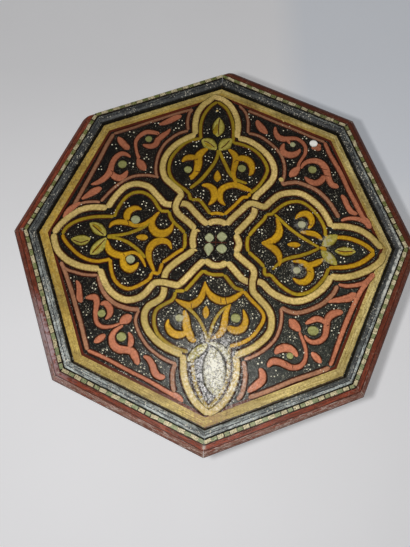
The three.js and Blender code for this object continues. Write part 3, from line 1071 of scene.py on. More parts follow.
def ring_walls(first, second):
    """Faces between two rings of eight corners."""
    return [
        (8 * first + n, 8 * first + (n + 1) % 8, 8 * second + (n + 1) % 8, 8 * second + n)
        for n in range(8)
    ]


skin_reach = BEAD_IN - 0.3 * MM
sheet_faces = [tuple(range(7, -1, -1)), tuple(range(8, 16)), *ring_walls(0, 1)]
slab("field_ground", [(skin_reach, FIELD), (skin_reach, FIELD + SKIN)], sheet_faces, ground)


def band(name, inner, outer, level, paint):
    """A flat painted band round the field."""
    low, high = UNDERSIDE, FIELD + level * MM
    rings = [(inner, low), (outer, low), (outer, high), (inner, high)]
    faces = [tuple(reversed(face)) for face in ring_walls(0, 1)]
    faces += [*ring_walls(1, 2), *ring_walls(2, 3), *ring_walls(3, 0)]
    slab(name, rings, faces, paint)


band("border_line", 822 * THOUSANDTH, 841 * THOUSANDTH, 0.16, maroon)
band("border_band", 836 * THOUSANDTH, skin_reach - 0.5 * MM, 0.20, band_paint)
print("skin and band", made["field_ground"], made["border_band"])

# %% [markdown]
# ## The interlaced ribbon
# Four cream ribbons cross in the middle and open into four lobed petals. They are drawn
# point after point, in thousandths, and each sharp corner starts a new stroke. A wider
# dark red stroke lies under each, and shows as a thin line along both edges.

# %% The ribbon's strokes
RIBBON_HALF = 18.5
ribbon_paths = [
    # the petal at the top
    [(-45, 893), (-72, 868), (-108, 832), (-135, 779), (-144, 715), (-142, 668), (-138, 638)],
    [(-52, 897), (0, 885), (47, 850), (82, 797), (100, 744), (106, 697), (102, 656), (106, 629)],
    [(-138, 640), (-194, 609), (-241, 574), (-282, 526), (-306, 474), (-312, 421), (-303, 379), (-286, 350),
     (-247, 315), (-208, 282), (-197, 258), (-211, 229), (-222, 190), (-213, 158), (-184, 129), (-138, 93),
     (-106, 61)],
    [(106, 629), (165, 616), (218, 585), (265, 544), (300, 497), (318, 444), (315, 397), (294, 356),
     (253, 309), (218, 270), (211, 232), (214, 192), (203, 154), (157, 97), (113, 45)],
    # the frame in the middle
    [(-106, 61), (-115, 20), (-116, -10), (-108, -52)],
    [(113, 45), (128, 11), (134, -10), (128, -39), (112, -57)],
    [(-38, 90), (-20, 107), (10, 113), (40, 109), (62, 93)],
    [(-45, -108), (-11, -132), (16, -138), (44, -134), (74, -115)],
    # down to the petal at the bottom
    [(-108, -52), (-125, -71), (-170, -107), (-215, -146), (-243, -180), (-253, -222), (-249, -285),
     (-258, -322), (-282, -345), (-318, -368), (-336, -395), (-341, -424), (-335, -459), (-318, -494),
     (-288, -529), (-253, -559), (-212, -582), (-165, -600), (-133, -612)],
    [(112, -57), (135, -80), (175, -114), (210, -144), (219, -173), (211, -222), (216, -266), (250, -305),
     (290, -347), (311, -388), (315, -424), (309, -465), (288, -500), (253, -535), (212, -565), (165, -588),
     (133, -602)],
    [(-133, -610), (-124, -640), (-122, -680), (-116, -712), (-104, -752), (-82, -794), (-55, -832),
     (-20, -862), (16, -888)],
    [(133, -600), (143, -640), (143, -680), (136, -722), (122, -765), (102, -805), (72, -843), (40, -870),
     (8, -888)],
    # across to the petal at the left
    [(-38, 90), (-70, 115), (-115, 161), (-150, 198), (-178, 208), (-218, 203), (-254, 198), (-285, 204),
     (-309, 229), (-338, 259), (-374, 294), (-409, 309), (-456, 313), (-503, 297), (-538, 262), (-568, 218),
     (-586, 182), (-597, 160)],
    [(-597, 160), (-632, 162), (-685, 159), (-744, 141), (-803, 96), (-845, 48), (-872, -2)],
    [(-872, -2), (-862, -45), (-838, -95), (-797, -135), (-756, -159), (-697, -179), (-644, -185),
     (-600, -187)],
    [(-600, -187), (-591, -204), (-574, -241), (-544, -288), (-503, -324), (-456, -344), (-415, -344),
     (-374, -329), (-344, -303), (-322, -272), (-300, -248), (-261, -243), (-215, -250), (-182, -254),
     (-161, -239), (-125, -198), (-84, -148), (-45, -108)],
    # across to the petal at the right
    [(62, 93), (80, 120), (103, 147), (139, 184), (168, 214), (190, 227), (216, 225), (246, 214),
     (270, 213), (294, 238), (343, 283), (394, 300), (453, 303), (512, 276), (571, 224), (606, 171),
     (624, 132), (629, 110)],
    [(629, 110), (653, 118), (718, 118), (782, 103), (835, 71), (876, 28), (900, 2)],
    [(906, -22), (888, -68), (835, -112), (765, -147), (700, -165), (647, -168), (620, -160)],
    [(74, -115), (98, -139), (135, -180), (160, -204), (190, -216), (240, -214), (268, -224), (298, -255),
     (335, -280), (394, -303), (453, -306), (512, -285), (571, -241), (608, -196), (622, -160)],
]
spurs = [
    [(-104, 58, 14), (-92, 54, 8), (-78, 50, 2)],
    [(-106, -54, 14), (-98, -58, 8), (-86, -60, 2)],
]
ribbons = strokes_of(RIBBON_HALF, ribbon_paths) + spurs
paint_edge("ribbon", ribbons, widen=1.5, seed=3, level=0.15, crown=0.02)
brush("ribbon", ribbons, cream, 0.22, 0.09, seed=4)

# %% Where one ribbon passes over the other
crossings = [
    [(152, 198), (170, 216), (190, 227), (216, 225), (246, 214), (268, 213), (284, 226)],
    [(-204, 276), (-197, 258), (-211, 229), (-222, 190), (-213, 158), (-192, 136)],
    [(186, -122), (210, -144), (219, -173), (211, -222), (216, -266), (236, -290)],
    [(-312, -260), (-298, -247), (-261, -243), (-215, -250), (-182, -254), (-164, -242)],
]
crossings = strokes_of(RIBBON_HALF, crossings)
paint_edge("crossing", [stroke[1:-1] for stroke in crossings], widen=1.4, seed=5, level=0.34)
brush("crossing", crossings, cream, 0.37, 0.08, seed=6)

# %% [markdown]
# ## The line inside each petal
# A mustard line follows the ribbon inside every petal, with the same corners.

# %% Mustard lines
MUSTARD_HALF = 10
mustard_paths = [
    # top petal
    [(-21, 862), (-50, 842), (-80, 803), (-102, 755), (-112, 700), (-110, 645), (-106, 612)],
    [(-21, 862), (8, 842), (38, 812), (68, 745), (79, 680), (80, 630), (79, 593)],
    [(-106, 616), (-150, 605), (-194, 582), (-235, 537), (-265, 488), (-276, 441), (-273, 394), (-252, 350),
     (-218, 318), (-182, 294), (-152, 270)],
    [(79, 598), (136, 586), (200, 557), (250, 507), (279, 443), (264, 386), (229, 329), (186, 288)],
    [(-29, 153), (-65, 202), (-97, 234), (-138, 231)],
    [(-138, 229), (-147, 250), (-154, 276)],
    # bottom petal
    [(-190, -289), (-194, -318), (-206, -337), (-241, -359), (-274, -382), (-288, -412), (-289, -447),
     (-282, -478), (-265, -512), (-235, -541), (-194, -568), (-147, -586), (-104, -596)],
    [(-79, -604), (-79, -641), (-74, -678), (-66, -718), (-53, -759), (-35, -798), (-12, -834), (12, -860)],
    [(12, -860), (35, -835), (65, -794), (88, -747), (100, -700), (104, -659), (101, -618), (104, -560)],
    [(-192, -286), (-141, -284)], [(-141, -284), (-106, -241), (-74, -198), (-47, -166)],
    [(-47, -166), (-29, -181), (6, -188), (62, -185)], [(62, -185), (94, -224), (124, -254), (168, -266)],
    # left petal
    [(-824, -4), (-809, 32), (-774, 64), (-726, 88), (-668, 103), (-615, 109), (-556, 112)],
    [(-554, 108), (-544, 147), (-526, 188), (-500, 229), (-468, 254), (-432, 264), (-397, 259), (-362, 238),
     (-338, 212), (-318, 180), (-298, 158)],
    [(-306, 157), (-254, 157)], [(-254, 157), (-248, 130), (-226, 96), (-191, 65), (-161, 35)],
    [(-161, 37), (-158, 0), (-157, -29), (-162, -54)],
    # right petal
    [(309, 174), (365, 224), (412, 247), (465, 250), (512, 224), (553, 182), (582, 135), (597, 92),
     (596, 56)],
    [(612, -120), (594, -165), (559, -212), (512, -253), (453, -271), (406, -259), (347, -218),
     (306, -171)],
    [(320, 172), (276, 166)], [(276, 166), (265, 137), (218, 82), (185, 36)],
    [(185, 38), (178, 10), (178, -20), (185, -53)], [(185, -52), (241, -100), (272, -133)],
    [(273, -132), (277, -172), (312, -172)],
]
golden_paths = [
    [(186, 290), (177, 264)], [(179, 264), (143, 257), (103, 211), (66, 172), (48, 153)],
    [(48, 153), (7, 160), (-29, 153)],
    [(104, -556), (147, -544), (188, -524), (224, -494), (253, -453), (271, -418), (273, -388), (253, -357),
     (224, -329), (194, -300), (168, -268)],
    [(-161, -52), (-203, -82), (-244, -116), (-270, -137)],
    [(-270, -137), (-277, -171), (-284, -200)], [(-280, -198), (-326, -192)],
    [(-322, -194), (-330, -226), (-356, -248), (-397, -274), (-438, -287), (-479, -274), (-515, -241),
     (-536, -196), (-545, -159), (-550, -130)],
    [(-548, -130), (-574, -138), (-621, -147), (-674, -138), (-726, -112), (-774, -72), (-809, -34),
     (-824, -4)],
    [(596, 55, 10), (659, 54, 11), (718, 52, 12), (776, 35, 13), (824, 8, 13), (856, -22, 13)],
    [(856, -22, 13), (818, -58, 13), (765, -92, 13), (700, -111, 12), (650, -115, 11), (612, -120, 10)],
]
mustards = strokes_of(MUSTARD_HALF, mustard_paths)
goldens = strokes_of(MUSTARD_HALF, golden_paths)
paint_edge("mustard", mustards + goldens, widen=1.3, seed=7)
brush("mustard_line", mustards, mustard, 0.19, 0.07, seed=8)
brush("golden_line", goldens, gold, 0.20, 0.07, seed=28)

# %% [markdown]
# ## The golden scrolls
# Inside the petals stems rise from one point, split, and end in fat hooks round a pale dot.
# A loaded brush pressed down and lifted gives each hook its swelling body and pointed tip,
# so these strokes carry a half width at every point.

# %% Golden scrolls
gold_scrolls = [
    # top petal
    [(-62, 552, 7), (-92, 532, 19), (-114, 498, 25), (-112, 450, 23), (-122, 400, 17), (-150, 354, 9)],
    [(-118, 486, 12), (-150, 493, 18), (-182, 486, 17), (-206, 460, 4)],
    [(-128, 445, 8), (-124, 412, 13), (-134, 384, 14), (-160, 370, 5)],
    [(54, 554, 7), (84, 530, 17), (100, 500, 20), (95, 455, 18), (88, 410, 15), (98, 366, 11),
     (112, 330, 8)],
    [(104, 490, 14), (134, 502, 20), (172, 488, 21), (192, 450, 19), (190, 416, 14), (176, 393, 4)],
    [(-86, 322, 5), (-50, 322, 17), (-20, 300, 22), (-10, 264, 22), (-20, 232, 15), (-42, 205, 4)],
    [(194, 302, 8), (150, 318, 17), (104, 334, 19), (58, 326, 19), (24, 298, 20), (18, 262, 19),
     (28, 232, 14), (52, 207, 4)],
    # left petal
    [(-406, 160, 4), (-438, 168, 15), (-470, 154, 20), (-485, 124, 21), (-478, 92, 17)],
    [(-574, 44, 4), (-560, 70, 12), (-524, 82, 16), (-480, 79, 16), (-430, 66, 13), (-390, 72, 14),
     (-356, 98, 13), (-340, 118, 7)],
    [(-228, 92, 3), (-240, 56, 15), (-268, 31, 23), (-308, 28, 25), (-338, 56, 23), (-344, 92, 17),
     (-330, 124, 12), (-308, 152, 6)],
    [(-226, -60, 3), (-248, -22, 15), (-290, -14, 20), (-326, -32, 22), (-346, -68, 20), (-345, -106, 17),
     (-330, -146, 12), (-308, -188, 8)],
    [(-578, -24, 4), (-570, -62, 17), (-548, -92, 21), (-508, -106, 21), (-474, -102, 15), (-436, -88, 11),
     (-402, -98, 10), (-376, -128, 9), (-356, -166, 4)],
    [(-484, -106, 14), (-482, -136, 18), (-468, -166, 22), (-440, -180, 23), (-414, -168, 17),
     (-396, -140, 4)],
    # bottom petal
    [(-186, -330, 5), (-150, -348, 15), (-114, -358, 20), (-80, -344, 21), (-54, -314, 18), (-42, -276, 14),
     (-36, -226, 3)],
    [(-34, -236, 3), (-18, -282, 15), (14, -312, 21), (52, -326, 21), (94, -320, 18), (130, -298, 14),
     (168, -268, 7)],
    [(-138, -384, 7), (-126, -424, 20), (-118, -472, 23), (-100, -512, 22), (-80, -536, 16),
     (-66, -528, 4)],
    [(-118, -496, 14), (-148, -512, 20), (-182, -508, 21), (-206, -488, 19), (-218, -462, 13),
     (-214, -434, 3)],
    [(8, -522, 4), (42, -506, 15), (66, -474, 19), (74, -432, 19), (78, -394, 16), (88, -362, 12),
     (102, -341, 4)],
    [(88, -456, 12), (108, -470, 19), (136, -476, 21), (166, -462, 21), (181, -430, 18), (178, -398, 12),
     (166, -364, 3)],
    # right petal
    [(254, 2, 4), (286, 8, 14), (322, 24, 21), (346, 56, 22), (350, 98, 17), (334, 150, 7)],
    [(254, 0, 4), (286, -10, 14), (320, -26, 20), (346, -56, 19), (354, -92, 13), (350, -126, 4)],
    [(436, 146, 3), (454, 168, 13), (482, 182, 19), (510, 176, 21), (525, 148, 19), (522, 118, 13),
     (504, 93, 4)],
    [(462, 74, 5), (500, 72, 14), (540, 66, 17), (566, 50, 12), (580, 33, 4)],
    [(420, -94, 4), (460, -92, 12), (492, -106, 17), (514, -134, 20), (514, -170, 21), (492, -198, 20),
     (456, -204, 15), (420, -184, 3)],
    [(494, -108, 12), (530, -104, 17), (562, -88, 16), (586, -70, 4)],
    [(566, -8, 6), (588, -14, 14), (604, -22, 5)],
]
paint_edge("gold", gold_scrolls, widen=1.2, seed=9)
brush("gold_scroll", gold_scrolls, gold, 0.21, 0.09, seed=10, step=1.0)

# %% Stems and teardrops
stems = [
    [(-6, 548, 8), (-4, 516, 10), (-18, 470, 10), (-50, 415, 11), (-92, 356, 11), (-150, 300, 9)],
    [(0, 548, 8), (14, 516, 10), (40, 460, 11), (70, 402, 11), (108, 366, 10), (168, 346, 7)],
    [(-580, -2, 8), (-530, 4, 9), (-479, 15, 9), (-432, 34, 10), (-392, 56, 10), (-352, 86, 7)],
    [(-580, -8, 8), (-530, -12, 9), (-479, -26, 10), (-432, -52, 10), (-394, -82, 10), (-362, -116, 7)],
    [(-9, -545, 9), (-18, -506, 9), (-36, -465, 9), (-62, -424, 9), (-98, -388, 9), (-138, -360, 8),
     (-176, -336, 5)],
    [(-8, -545, 9), (2, -500, 9), (14, -453, 9), (32, -412, 9), (60, -374, 9), (98, -346, 6)],
    [(566, -9, 7), (512, 20, 9), (453, 56, 10), (398, 98, 10), (354, 140, 9), (322, 170, 6)],
    [(566, -12, 7), (516, -38, 9), (462, -60, 10), (404, -76, 10), (356, -102, 9), (314, -146, 6)],
]
teardrops = [
    [(-1, 418, 3), (-1, 398, 15), (0, 378, 21), (0, 360, 17), (0, 346, 4)],
    [(-424, 0, 4), (-408, 0, 15), (-390, 0, 19), (-370, 0, 16), (-358, 0, 5)],
    [(-25, -356, 3), (-25, -374, 15), (-24, -392, 19), (-24, -410, 14), (-24, -424, 3)],
    [(392, 0, 4), (408, 0, 12), (430, 0, 17), (450, 0, 13), (464, 0, 4)],
]
paint_edge("stem", stems + teardrops, widen=1.0, seed=11)
brush("stem", stems, mustard, 0.23, 0.06, seed=12)
brush("teardrop", teardrops, gold, 0.23, 0.08, seed=13)

# %% Leaves
leaves = [
    [(-8, 758, 4), (-8, 730, 26), (-8, 695, 38), (-10, 660, 30), (-12, 630, 5)],
    [(-102, 606, 8), (-84, 598, 28), (-58, 584, 38), (-32, 566, 27), (-14, 546, 7)],
    [(4, 543, 7), (16, 562, 26), (36, 586, 38), (56, 606, 26), (70, 624, 7)],
    [(-774, -30, 4), (-748, -32, 22), (-718, -33, 31), (-690, -28, 24), (-668, -20, 5)],
    [(-684, 66, 5), (-660, 54, 24), (-634, 36, 33), (-606, 16, 24), (-588, -2, 5)],
    [(-660, -110, 5), (-642, -92, 26), (-618, -64, 33), (-596, -34, 24), (-584, -12, 5)],
    [(-104, -642, 5), (-80, -614, 22), (-54, -590, 26), (-28, -566, 20), (-8, -548, 5)],
    [(646, -24, 4), (672, -24, 20), (702, -23, 27), (732, -22, 21), (758, -22, 5)],
    [(576, 6, 5), (596, 14, 22), (620, 34, 31), (644, 52, 24), (662, 68, 5)],
    [(572, -26, 5), (592, -42, 22), (614, -62, 30), (638, -84, 22), (656, -102, 5)],
]
# the two leaves in the glare at the bottom petal take the paler paint, a painted highlight of the lamp's
# glare
glare_leaves = [
    [(14, -566, 8), (24, -606, 42), (32, -660, 58), (36, -716, 58), (40, -764, 42), (44, -800, 8)],
    [(-2, -545, 4), (34, -552, 14), (70, -574, 17), (96, -606, 14), (110, -640, 4)],
]
leaf_lights = [
    [(-28, 642, 5), (-26, 664, 15), (-20, 692, 10), (-18, 716, 4)],
    [(-84, 588, 5), (-62, 574, 12), (-40, 560, 5)],
    [(-668, 62, 4), (-640, 44, 11), (-612, 24, 4)],
    [(-650, -100, 4), (-626, -72, 11), (-604, -44, 4)],
    [(662, -30, 4), (700, -34, 9), (742, -28, 4)],
]
veins = [
    [(-3, 750), (-8, 700), (-4, 640)],
    [(-762, -34), (-718, -46), (-676, -30)],
    [(658, -20), (700, -26), (748, -20)],
    [(-668, 56), (-632, 28), (-598, 2)],
    [(-650, -104), (-616, -58), (-588, -20)],
    [(-90, 600), (-60, 590), (-24, 560)],
    [(12, 556), (40, 584), (60, 612)],
]
paint_edge("leaf", leaves + glare_leaves, widen=0.9, seed=14)
brush("leaf", leaves, olive, 0.22, 0.08, seed=15)
brush("leaf_glare", glare_leaves, glare_leaf, 0.22, 0.08, seed=29)
brush("leaf_light", leaf_lights, mustard, 0.28, 0.05, seed=27)
brush("leaf_vein", strokes_of(3, veins), maroon, 0.31, 0.03, seed=16)

# %% [markdown]
# ## The salmon corners
# Between the petals lie four corner fields. Each is edged with a thin salmon line and filled
# with salmon scrolls. No two corners are alike, so each one is drawn.

# %% Salmon border lines
THIN, STOUT = 8, 11.5
dull_lines = [
    # upper right
    [(159, 812), (206, 794), (276, 764), (353, 731), (418, 706), (482, 678), (547, 650), (604, 627)],
    [(106, 844), (135, 815), (153, 782), (163, 735), (163, 690), (165, 662)],
    [(165, 662), (200, 657), (241, 641), (294, 603), (340, 556), (366, 505), (376, 450), (372, 394),
     (359, 352)],
    # upper left
    [(-612, 621), (-547, 648), (-488, 672), (-429, 700), (-371, 724), (-312, 749), (-253, 774), (-194, 796),
     (-165, 806)],
    [(-165, 806), (-182, 776), (-189, 735), (-188, 700), (-182, 665)],
    [(-182, 663), (-235, 641), (-280, 605), (-312, 568), (-335, 520), (-347, 470), (-350, 420), (-344, 375),
     (-332, 352)],
    [(-344, 362), (-390, 368), (-453, 363), (-500, 344), (-545, 310), (-585, 268), (-618, 224),
     (-638, 196)],
    [(-640, 193), (-690, 192), (-735, 183), (-780, 155), (-806, 125)],
    # lower left
    [(-159, -656), (-182, -652), (-224, -635), (-265, -612), (-306, -582), (-341, -541), (-369, -494),
     (-382, -459), (-382, -429), (-370, -396)],
    [(-604, -222), (-647, -224), (-688, -221), (-729, -212), (-765, -203), (-790, -190)],
    # lower right
    [(360, -348), (366, -385), (363, -424), (353, -465), (335, -506), (306, -541), (265, -576), (218, -603),
     (180, -618)],
]
stout_lines = [
    [(359, 348), (394, 360), (440, 367), (476, 359), (524, 341), (571, 312), (618, 262), (653, 206),
     (674, 166)],
    [(-612, 621), (-641, 553), (-670, 470), (-706, 371), (-735, 295), (-765, 215), (-790, 150),
     (-812, 118)],
    [(-812, -159), (-785, -205), (-759, -259), (-729, -324), (-700, -394), (-665, -476), (-641, -541),
     (-612, -615)],
    [(-159, -796), (-170, -753), (-174, -712), (-170, -676), (-159, -656)],
    [(-368, -391), (-400, -394), (-441, -388), (-488, -374), (-527, -350), (-556, -322), (-580, -285),
     (-597, -240), (-602, -224)],
    [(656, -212), (638, -250), (612, -282), (571, -318), (524, -343), (482, -360), (441, -369), (400, -362),
     (362, -344)],
    [(176, -624), (183, -660), (188, -700), (183, -747), (170, -790), (150, -815)],
    [(206, -800), (253, -784), (300, -765), (359, -738), (418, -711), (476, -688), (535, -666), (580, -648),
     (608, -634)],
]
bright_lines = [
    [(604, 627, 10), (629, 559, 12), (659, 500, 13), (694, 429, 13), (729, 341, 13), (759, 276, 14),
     (800, 185, 14), (838, 112, 12)],
    [(684, 150, 7), (718, 164, 10), (759, 168, 12), (800, 158, 14), (838, 128, 10)],
    [(-612, -615, 9), (-547, -637, 9), (-488, -661, 9), (-429, -688, 9), (-371, -713, 9), (-312, -737, 9),
     (-253, -765, 10), (-194, -794, 11), (-153, -812, 12), (-112, -835, 10)],
    [(850, -140, 12), (820, -176, 14), (785, -196, 12), (747, -207, 11), (700, -213, 10), (660, -207, 8)],
    [(608, -628, 9), (624, -592, 10), (646, -532, 11), (672, -464, 12), (701, -394, 13), (732, -325, 13),
     (763, -262, 13), (788, -220, 13), (820, -176, 14), (850, -136, 12)],
]
corner_fills = [
    [(800, 172, 10), (820, 158, 20), (838, 132, 14), (842, 112, 6)],
    [(-832, 88, 6), (-818, 116, 17), (-796, 146, 20), (-768, 172, 13), (-750, 186, 6)],
    [(-165, -798, 8), (-145, -812, 14), (-116, -832, 12)],
    [(780, -200, 8), (806, -188, 16), (832, -160, 13), (848, -136, 6)],
]
dull = strokes_of(THIN, dull_lines) + strokes_of(STOUT, stout_lines)
bright = bright_lines + corner_fills
paint_edge("salmon_line", dull + bright, widen=1.2, seed=17)
brush("salmon_line", dull, salmon_line, 0.18, 0.06, seed=18)
brush("salmon_bright_line", bright, salmon, 0.20, 0.06, seed=19)

# %% Salmon scrolls
salmon_scrolls = [
    # upper right
    [(212, 752, 8), (226, 722, 20), (246, 694, 22), (266, 674, 14), (276, 664, 5)],
    [(320, 714, 4), (322, 680, 12), (338, 648, 18), (368, 636, 18), (400, 640, 14), (440, 642, 11),
     (474, 622, 11), (494, 588, 10), (492, 548, 9), (472, 512, 8), (458, 486, 8), (452, 462, 10)],
    [(462, 468, 4), (446, 448, 18), (428, 426, 24), (414, 410, 17), (406, 396, 4)],
    [(372, 608, 5), (362, 576, 15), (372, 548, 20), (402, 536, 21), (434, 542, 18), (456, 560, 11),
     (464, 578, 3)],
    [(384, 648, 4), (396, 622, 8), (408, 606, 4)],
    [(470, 452, 5), (480, 478, 10), (508, 499, 14), (548, 506, 17), (584, 492, 20), (606, 462, 22),
     (616, 428, 20), (624, 394, 18), (640, 364, 18), (668, 354, 14), (678, 356, 6)],
    [(488, 404, 4), (512, 380, 14), (548, 368, 18), (580, 384, 18), (600, 416, 14)],
    [(526, 586, 6), (548, 588, 14), (572, 584, 14), (582, 590, 5)],
    [(560, 612, 4), (572, 604, 10), (582, 594, 4)],
    [(690, 304, 8), (708, 276, 15), (724, 236, 15), (744, 206, 16), (768, 196, 10), (776, 198, 4)],
    # upper left
    [(-356, 694, 4), (-330, 704, 13), (-296, 722, 18), (-262, 744, 18), (-234, 756, 12), (-226, 758, 4)],
    [(-286, 670, 4), (-303, 644, 12), (-330, 620, 17), (-352, 596, 18), (-362, 568, 17), (-386, 552, 16),
     (-414, 552, 12), (-438, 560, 4)],
    [(-346, 634, 10), (-388, 642, 13), (-426, 640, 14), (-460, 614, 12), (-478, 580, 10), (-476, 545, 8),
     (-466, 506, 8), (-450, 468, 10)],
    [(-462, 468, 4), (-446, 448, 20), (-430, 426, 25), (-416, 408, 17), (-408, 396, 4)],
    [(-585, 602, 5), (-568, 580, 18), (-546, 556, 20), (-524, 534, 18), (-514, 522, 5)],
    [(-498, 474, 3), (-520, 490, 10), (-552, 496, 14), (-582, 472, 16), (-600, 430, 16), (-606, 390, 18),
     (-620, 356, 18), (-644, 328, 17), (-676, 306, 12), (-706, 296, 3)],
    [(-606, 384, 12), (-580, 354, 19), (-548, 344, 20), (-522, 362, 16), (-508, 392, 4)],
    [(-746, 204, 5), (-722, 224, 14), (-690, 250, 22), (-658, 270, 18), (-640, 276, 6)],
    # lower left
    [(-716, -256, 5), (-700, -282, 12), (-692, -318, 15), (-686, -350, 17), (-670, -372, 8)],
    [(-656, -348, 5), (-630, -342, 14), (-606, -342, 17), (-594, -366, 16), (-594, -402, 13),
     (-592, -438, 11), (-582, -470, 11), (-558, -490, 10), (-524, -492, 9), (-490, -484, 7),
     (-462, -470, 6)],
    [(-462, -474, 5), (-448, -458, 21), (-432, -446, 27), (-416, -434, 21), (-406, -426, 7)],
    [(-574, -378, 5), (-552, -370, 15), (-530, -384, 18), (-519, -410, 17), (-524, -436, 12),
     (-540, -454, 3)],
    [(-444, -480, 5), (-468, -496, 9), (-490, -520, 14), (-496, -548, 17), (-484, -580, 20),
     (-454, -600, 21), (-418, -602, 19), (-388, -608, 20), (-370, -630, 20), (-354, -662, 13),
     (-350, -674, 5)],
    [(-414, -512, 4), (-400, -536, 12), (-396, -566, 15), (-404, -590, 12)],
    [(-584, -574, 6), (-568, -562, 16), (-548, -546, 17), (-530, -530, 8)],
    [(-328, -628, 6), (-300, -640, 13), (-278, -670, 17), (-262, -706, 18), (-238, -724, 16),
     (-208, -724, 10)],
    # lower right
    [(604, -304, 5), (636, -294, 12), (676, -286, 17), (714, -276, 21), (742, -256, 18), (748, -246, 6)],
    [(682, -352, 10), (650, -356, 18), (620, -370, 20), (600, -398, 18), (594, -440, 16), (586, -478, 15),
     (560, -506, 14), (522, -514, 12), (494, -500, 9), (482, -480, 3)],
    [(486, -424, 4), (512, -408, 12), (546, -394, 15), (576, -402, 13), (590, -420, 8)],
    [(404, -402, 6), (418, -416, 21), (432, -432, 25), (450, -450, 17), (462, -464, 5)],
    [(456, -464, 6), (472, -502, 8), (486, -542, 9), (489, -582, 9), (478, -618, 11), (452, -640, 13),
     (416, -644, 15), (384, -632, 17), (350, -620, 18), (318, -622, 17), (298, -650, 8)],
    [(334, -584, 8), (350, -562, 18), (380, -550, 22), (410, -554, 20), (434, -572, 15), (446, -592, 6)],
    [(516, -564, 6), (532, -580, 16), (550, -598, 16), (566, -616, 6)],
    [(256, -656, 8), (272, -680, 17), (272, -712, 20), (244, -740, 20), (216, -762, 14), (202, -776, 5)],
]
paint_edge("salmon", salmon_scrolls, widen=1.1, seed=20)
brush("salmon_scroll", salmon_scrolls, salmon, 0.21, 0.09, widen=0.2, seed=21, step=1.0)

# %% [markdown]
# ## Dots, drops and hairlines
# Pale green dots sit in the bends of the scrolls, and four fill the middle. Later spatter left
# a white drop and a few small ones. Fine dark lines part each hook from its neighbour.

# %% Dots


def dot(x, y, half, squash=1.0):
    """A round dab: a stroke hardly longer than it is wide, as the brush rounds both its ends."""
    reach = 0.96 * half * squash
    return [(x - reach, y, half), (x, y, half), (x + reach, y, half)]


hook_dots = [
    dot(-168, 415, 23), dot(135, 438, 24), dot(532, 450, 25),
    dot(-406, 597, 21), dot(-541, 429, 26),
    dot(-562, -424, 22), dot(-447, -538, 26), dot(130, -412, 26), dot(-160, -426, 21),
    dot(526, -456, 26, 1.15), dot(409, -588, 18),
]
grey_dots = [
    [(-52, 16, 13), (-36, 16, 28), (-18, 16, 30), (-3, 14, 15)],
    [(13, 24, 14), (30, 25, 28), (48, 26, 29), (68, 26, 13)],
    [(13, -42, 15), (32, -42, 28), (50, -42, 29), (70, -40, 15)],
    [(-26, -14, 15), (-27, -34, 28), (-28, -50, 26), (-28, -70, 13), (-27, -86, 3)],
    dot(-435, 100, 26), dot(-441, -126, 25), dot(471, 118, 23), dot(444, -141, 21), dot(421, 602, 17),
]
paint_edge("dot", hook_dots + grey_dots, widen=0.9, seed=22, level=0.24)
brush("dot", hook_dots, pale_green, 0.28, 0.12, step=0.8, seed=23)
brush("dot_grey", grey_dots, grey_green, 0.28, 0.12, step=0.8, seed=30)
brush("spatter_drop", [dot(540, 615, 24)], white, 0.30, 0.40, step=0.8, seed=24)
small_drops = [dot(357, 379, 15), dot(782, 332, 11), dot(-20, 802, 8), dot(368, 753, 7)]
brush("spatter_small", small_drops, cream, 0.30, 0.25, step=0.8, seed=26)

# %% Hairlines
hairlines = [
    [(8, 36), (9, 4), (8, -30)], [(-50, -9), (-20, -10), (20, -8), (70, -9)],
    [(568, 470), (590, 456), (618, 452)], [(574, 420), (600, 418), (628, 412)],
    [(420, 625), (412, 604), (398, 600)], [(-112, 486), (-130, 476), (-142, 480)],
    [(-128, 408), (-112, 404), (-100, 410)], [(-606, 392), (-590, 374), (-598, 350)],
    [(-362, 640), (-350, 620), (-368, 604)], [(48, -308), (52, -340)], [(-104, -344), (-100, -372)],
    [(70, -300), (82, -344)], [(-484, 100), (-470, 76), (-474, 62)], [(-486, -96), (-470, -110)],
    [(386, -618), (398, -640)], [(424, -630), (420, -652)], [(592, -430), (610, -420)],
    [(496, 118), (530, 116)], [(498, -140), (524, -150)], [(88, 470), (104, 486), (118, 480)],
]
brush("hairline", strokes_of(2, hairlines), maroon, 0.31, 0.02, stagger=0.01, seed=25)

# %% [markdown]
# ## Clusters of dots
# The painter filled the black with little clusters of two to eight cream dots, set down with
# the tip of the brush. One small dome is put on every point of a cloud of points, at its own
# size. The clouds are scattered round listed places, with a fixed seed.

# %% Geometry tree: dots of paint
dot_tree, size, end = geometry_group(
    "dots of paint",
    [
        ("Radius", "value", 1.0 * MM),
        ("Height", "value", 0.4 * MM),
        ("Variation", "value", 0.3),
        ("Seed", "count", 1),
        ("Paint", "material", None),
    ],
)
tree = dot_tree
cloud = step(tree, "GeometryNodeMeshToPoints", {"Mesh": size["Geometry"]})
rings = {"Vertices": 7, "Side Segments": 1, "Fill Segments": 1}
cone = {"Radius Top": 0.55, "Radius Bottom": 1.0, "Depth": 1.0}
dome = step(tree, "GeometryNodeMeshCone", {**rings, **cone})
bounds = {2: minus(1.0, size["Variation"]), 3: plus(1.0, size["Variation"]), "Seed": size["Seed"]}
dice = make(tree, "FunctionNodeRandomValue", bounds, data_type="FLOAT")
wide = times(size["Radius"], dice.outputs[1])
spread = {"Points": cloud, "Instance": dome, "Scale": join(wide, wide, size["Height"])}
hand_out(end, step(tree, "GeometryNodeInstanceOnPoints", spread), size["Paint"])
print("tree", dot_tree.name)

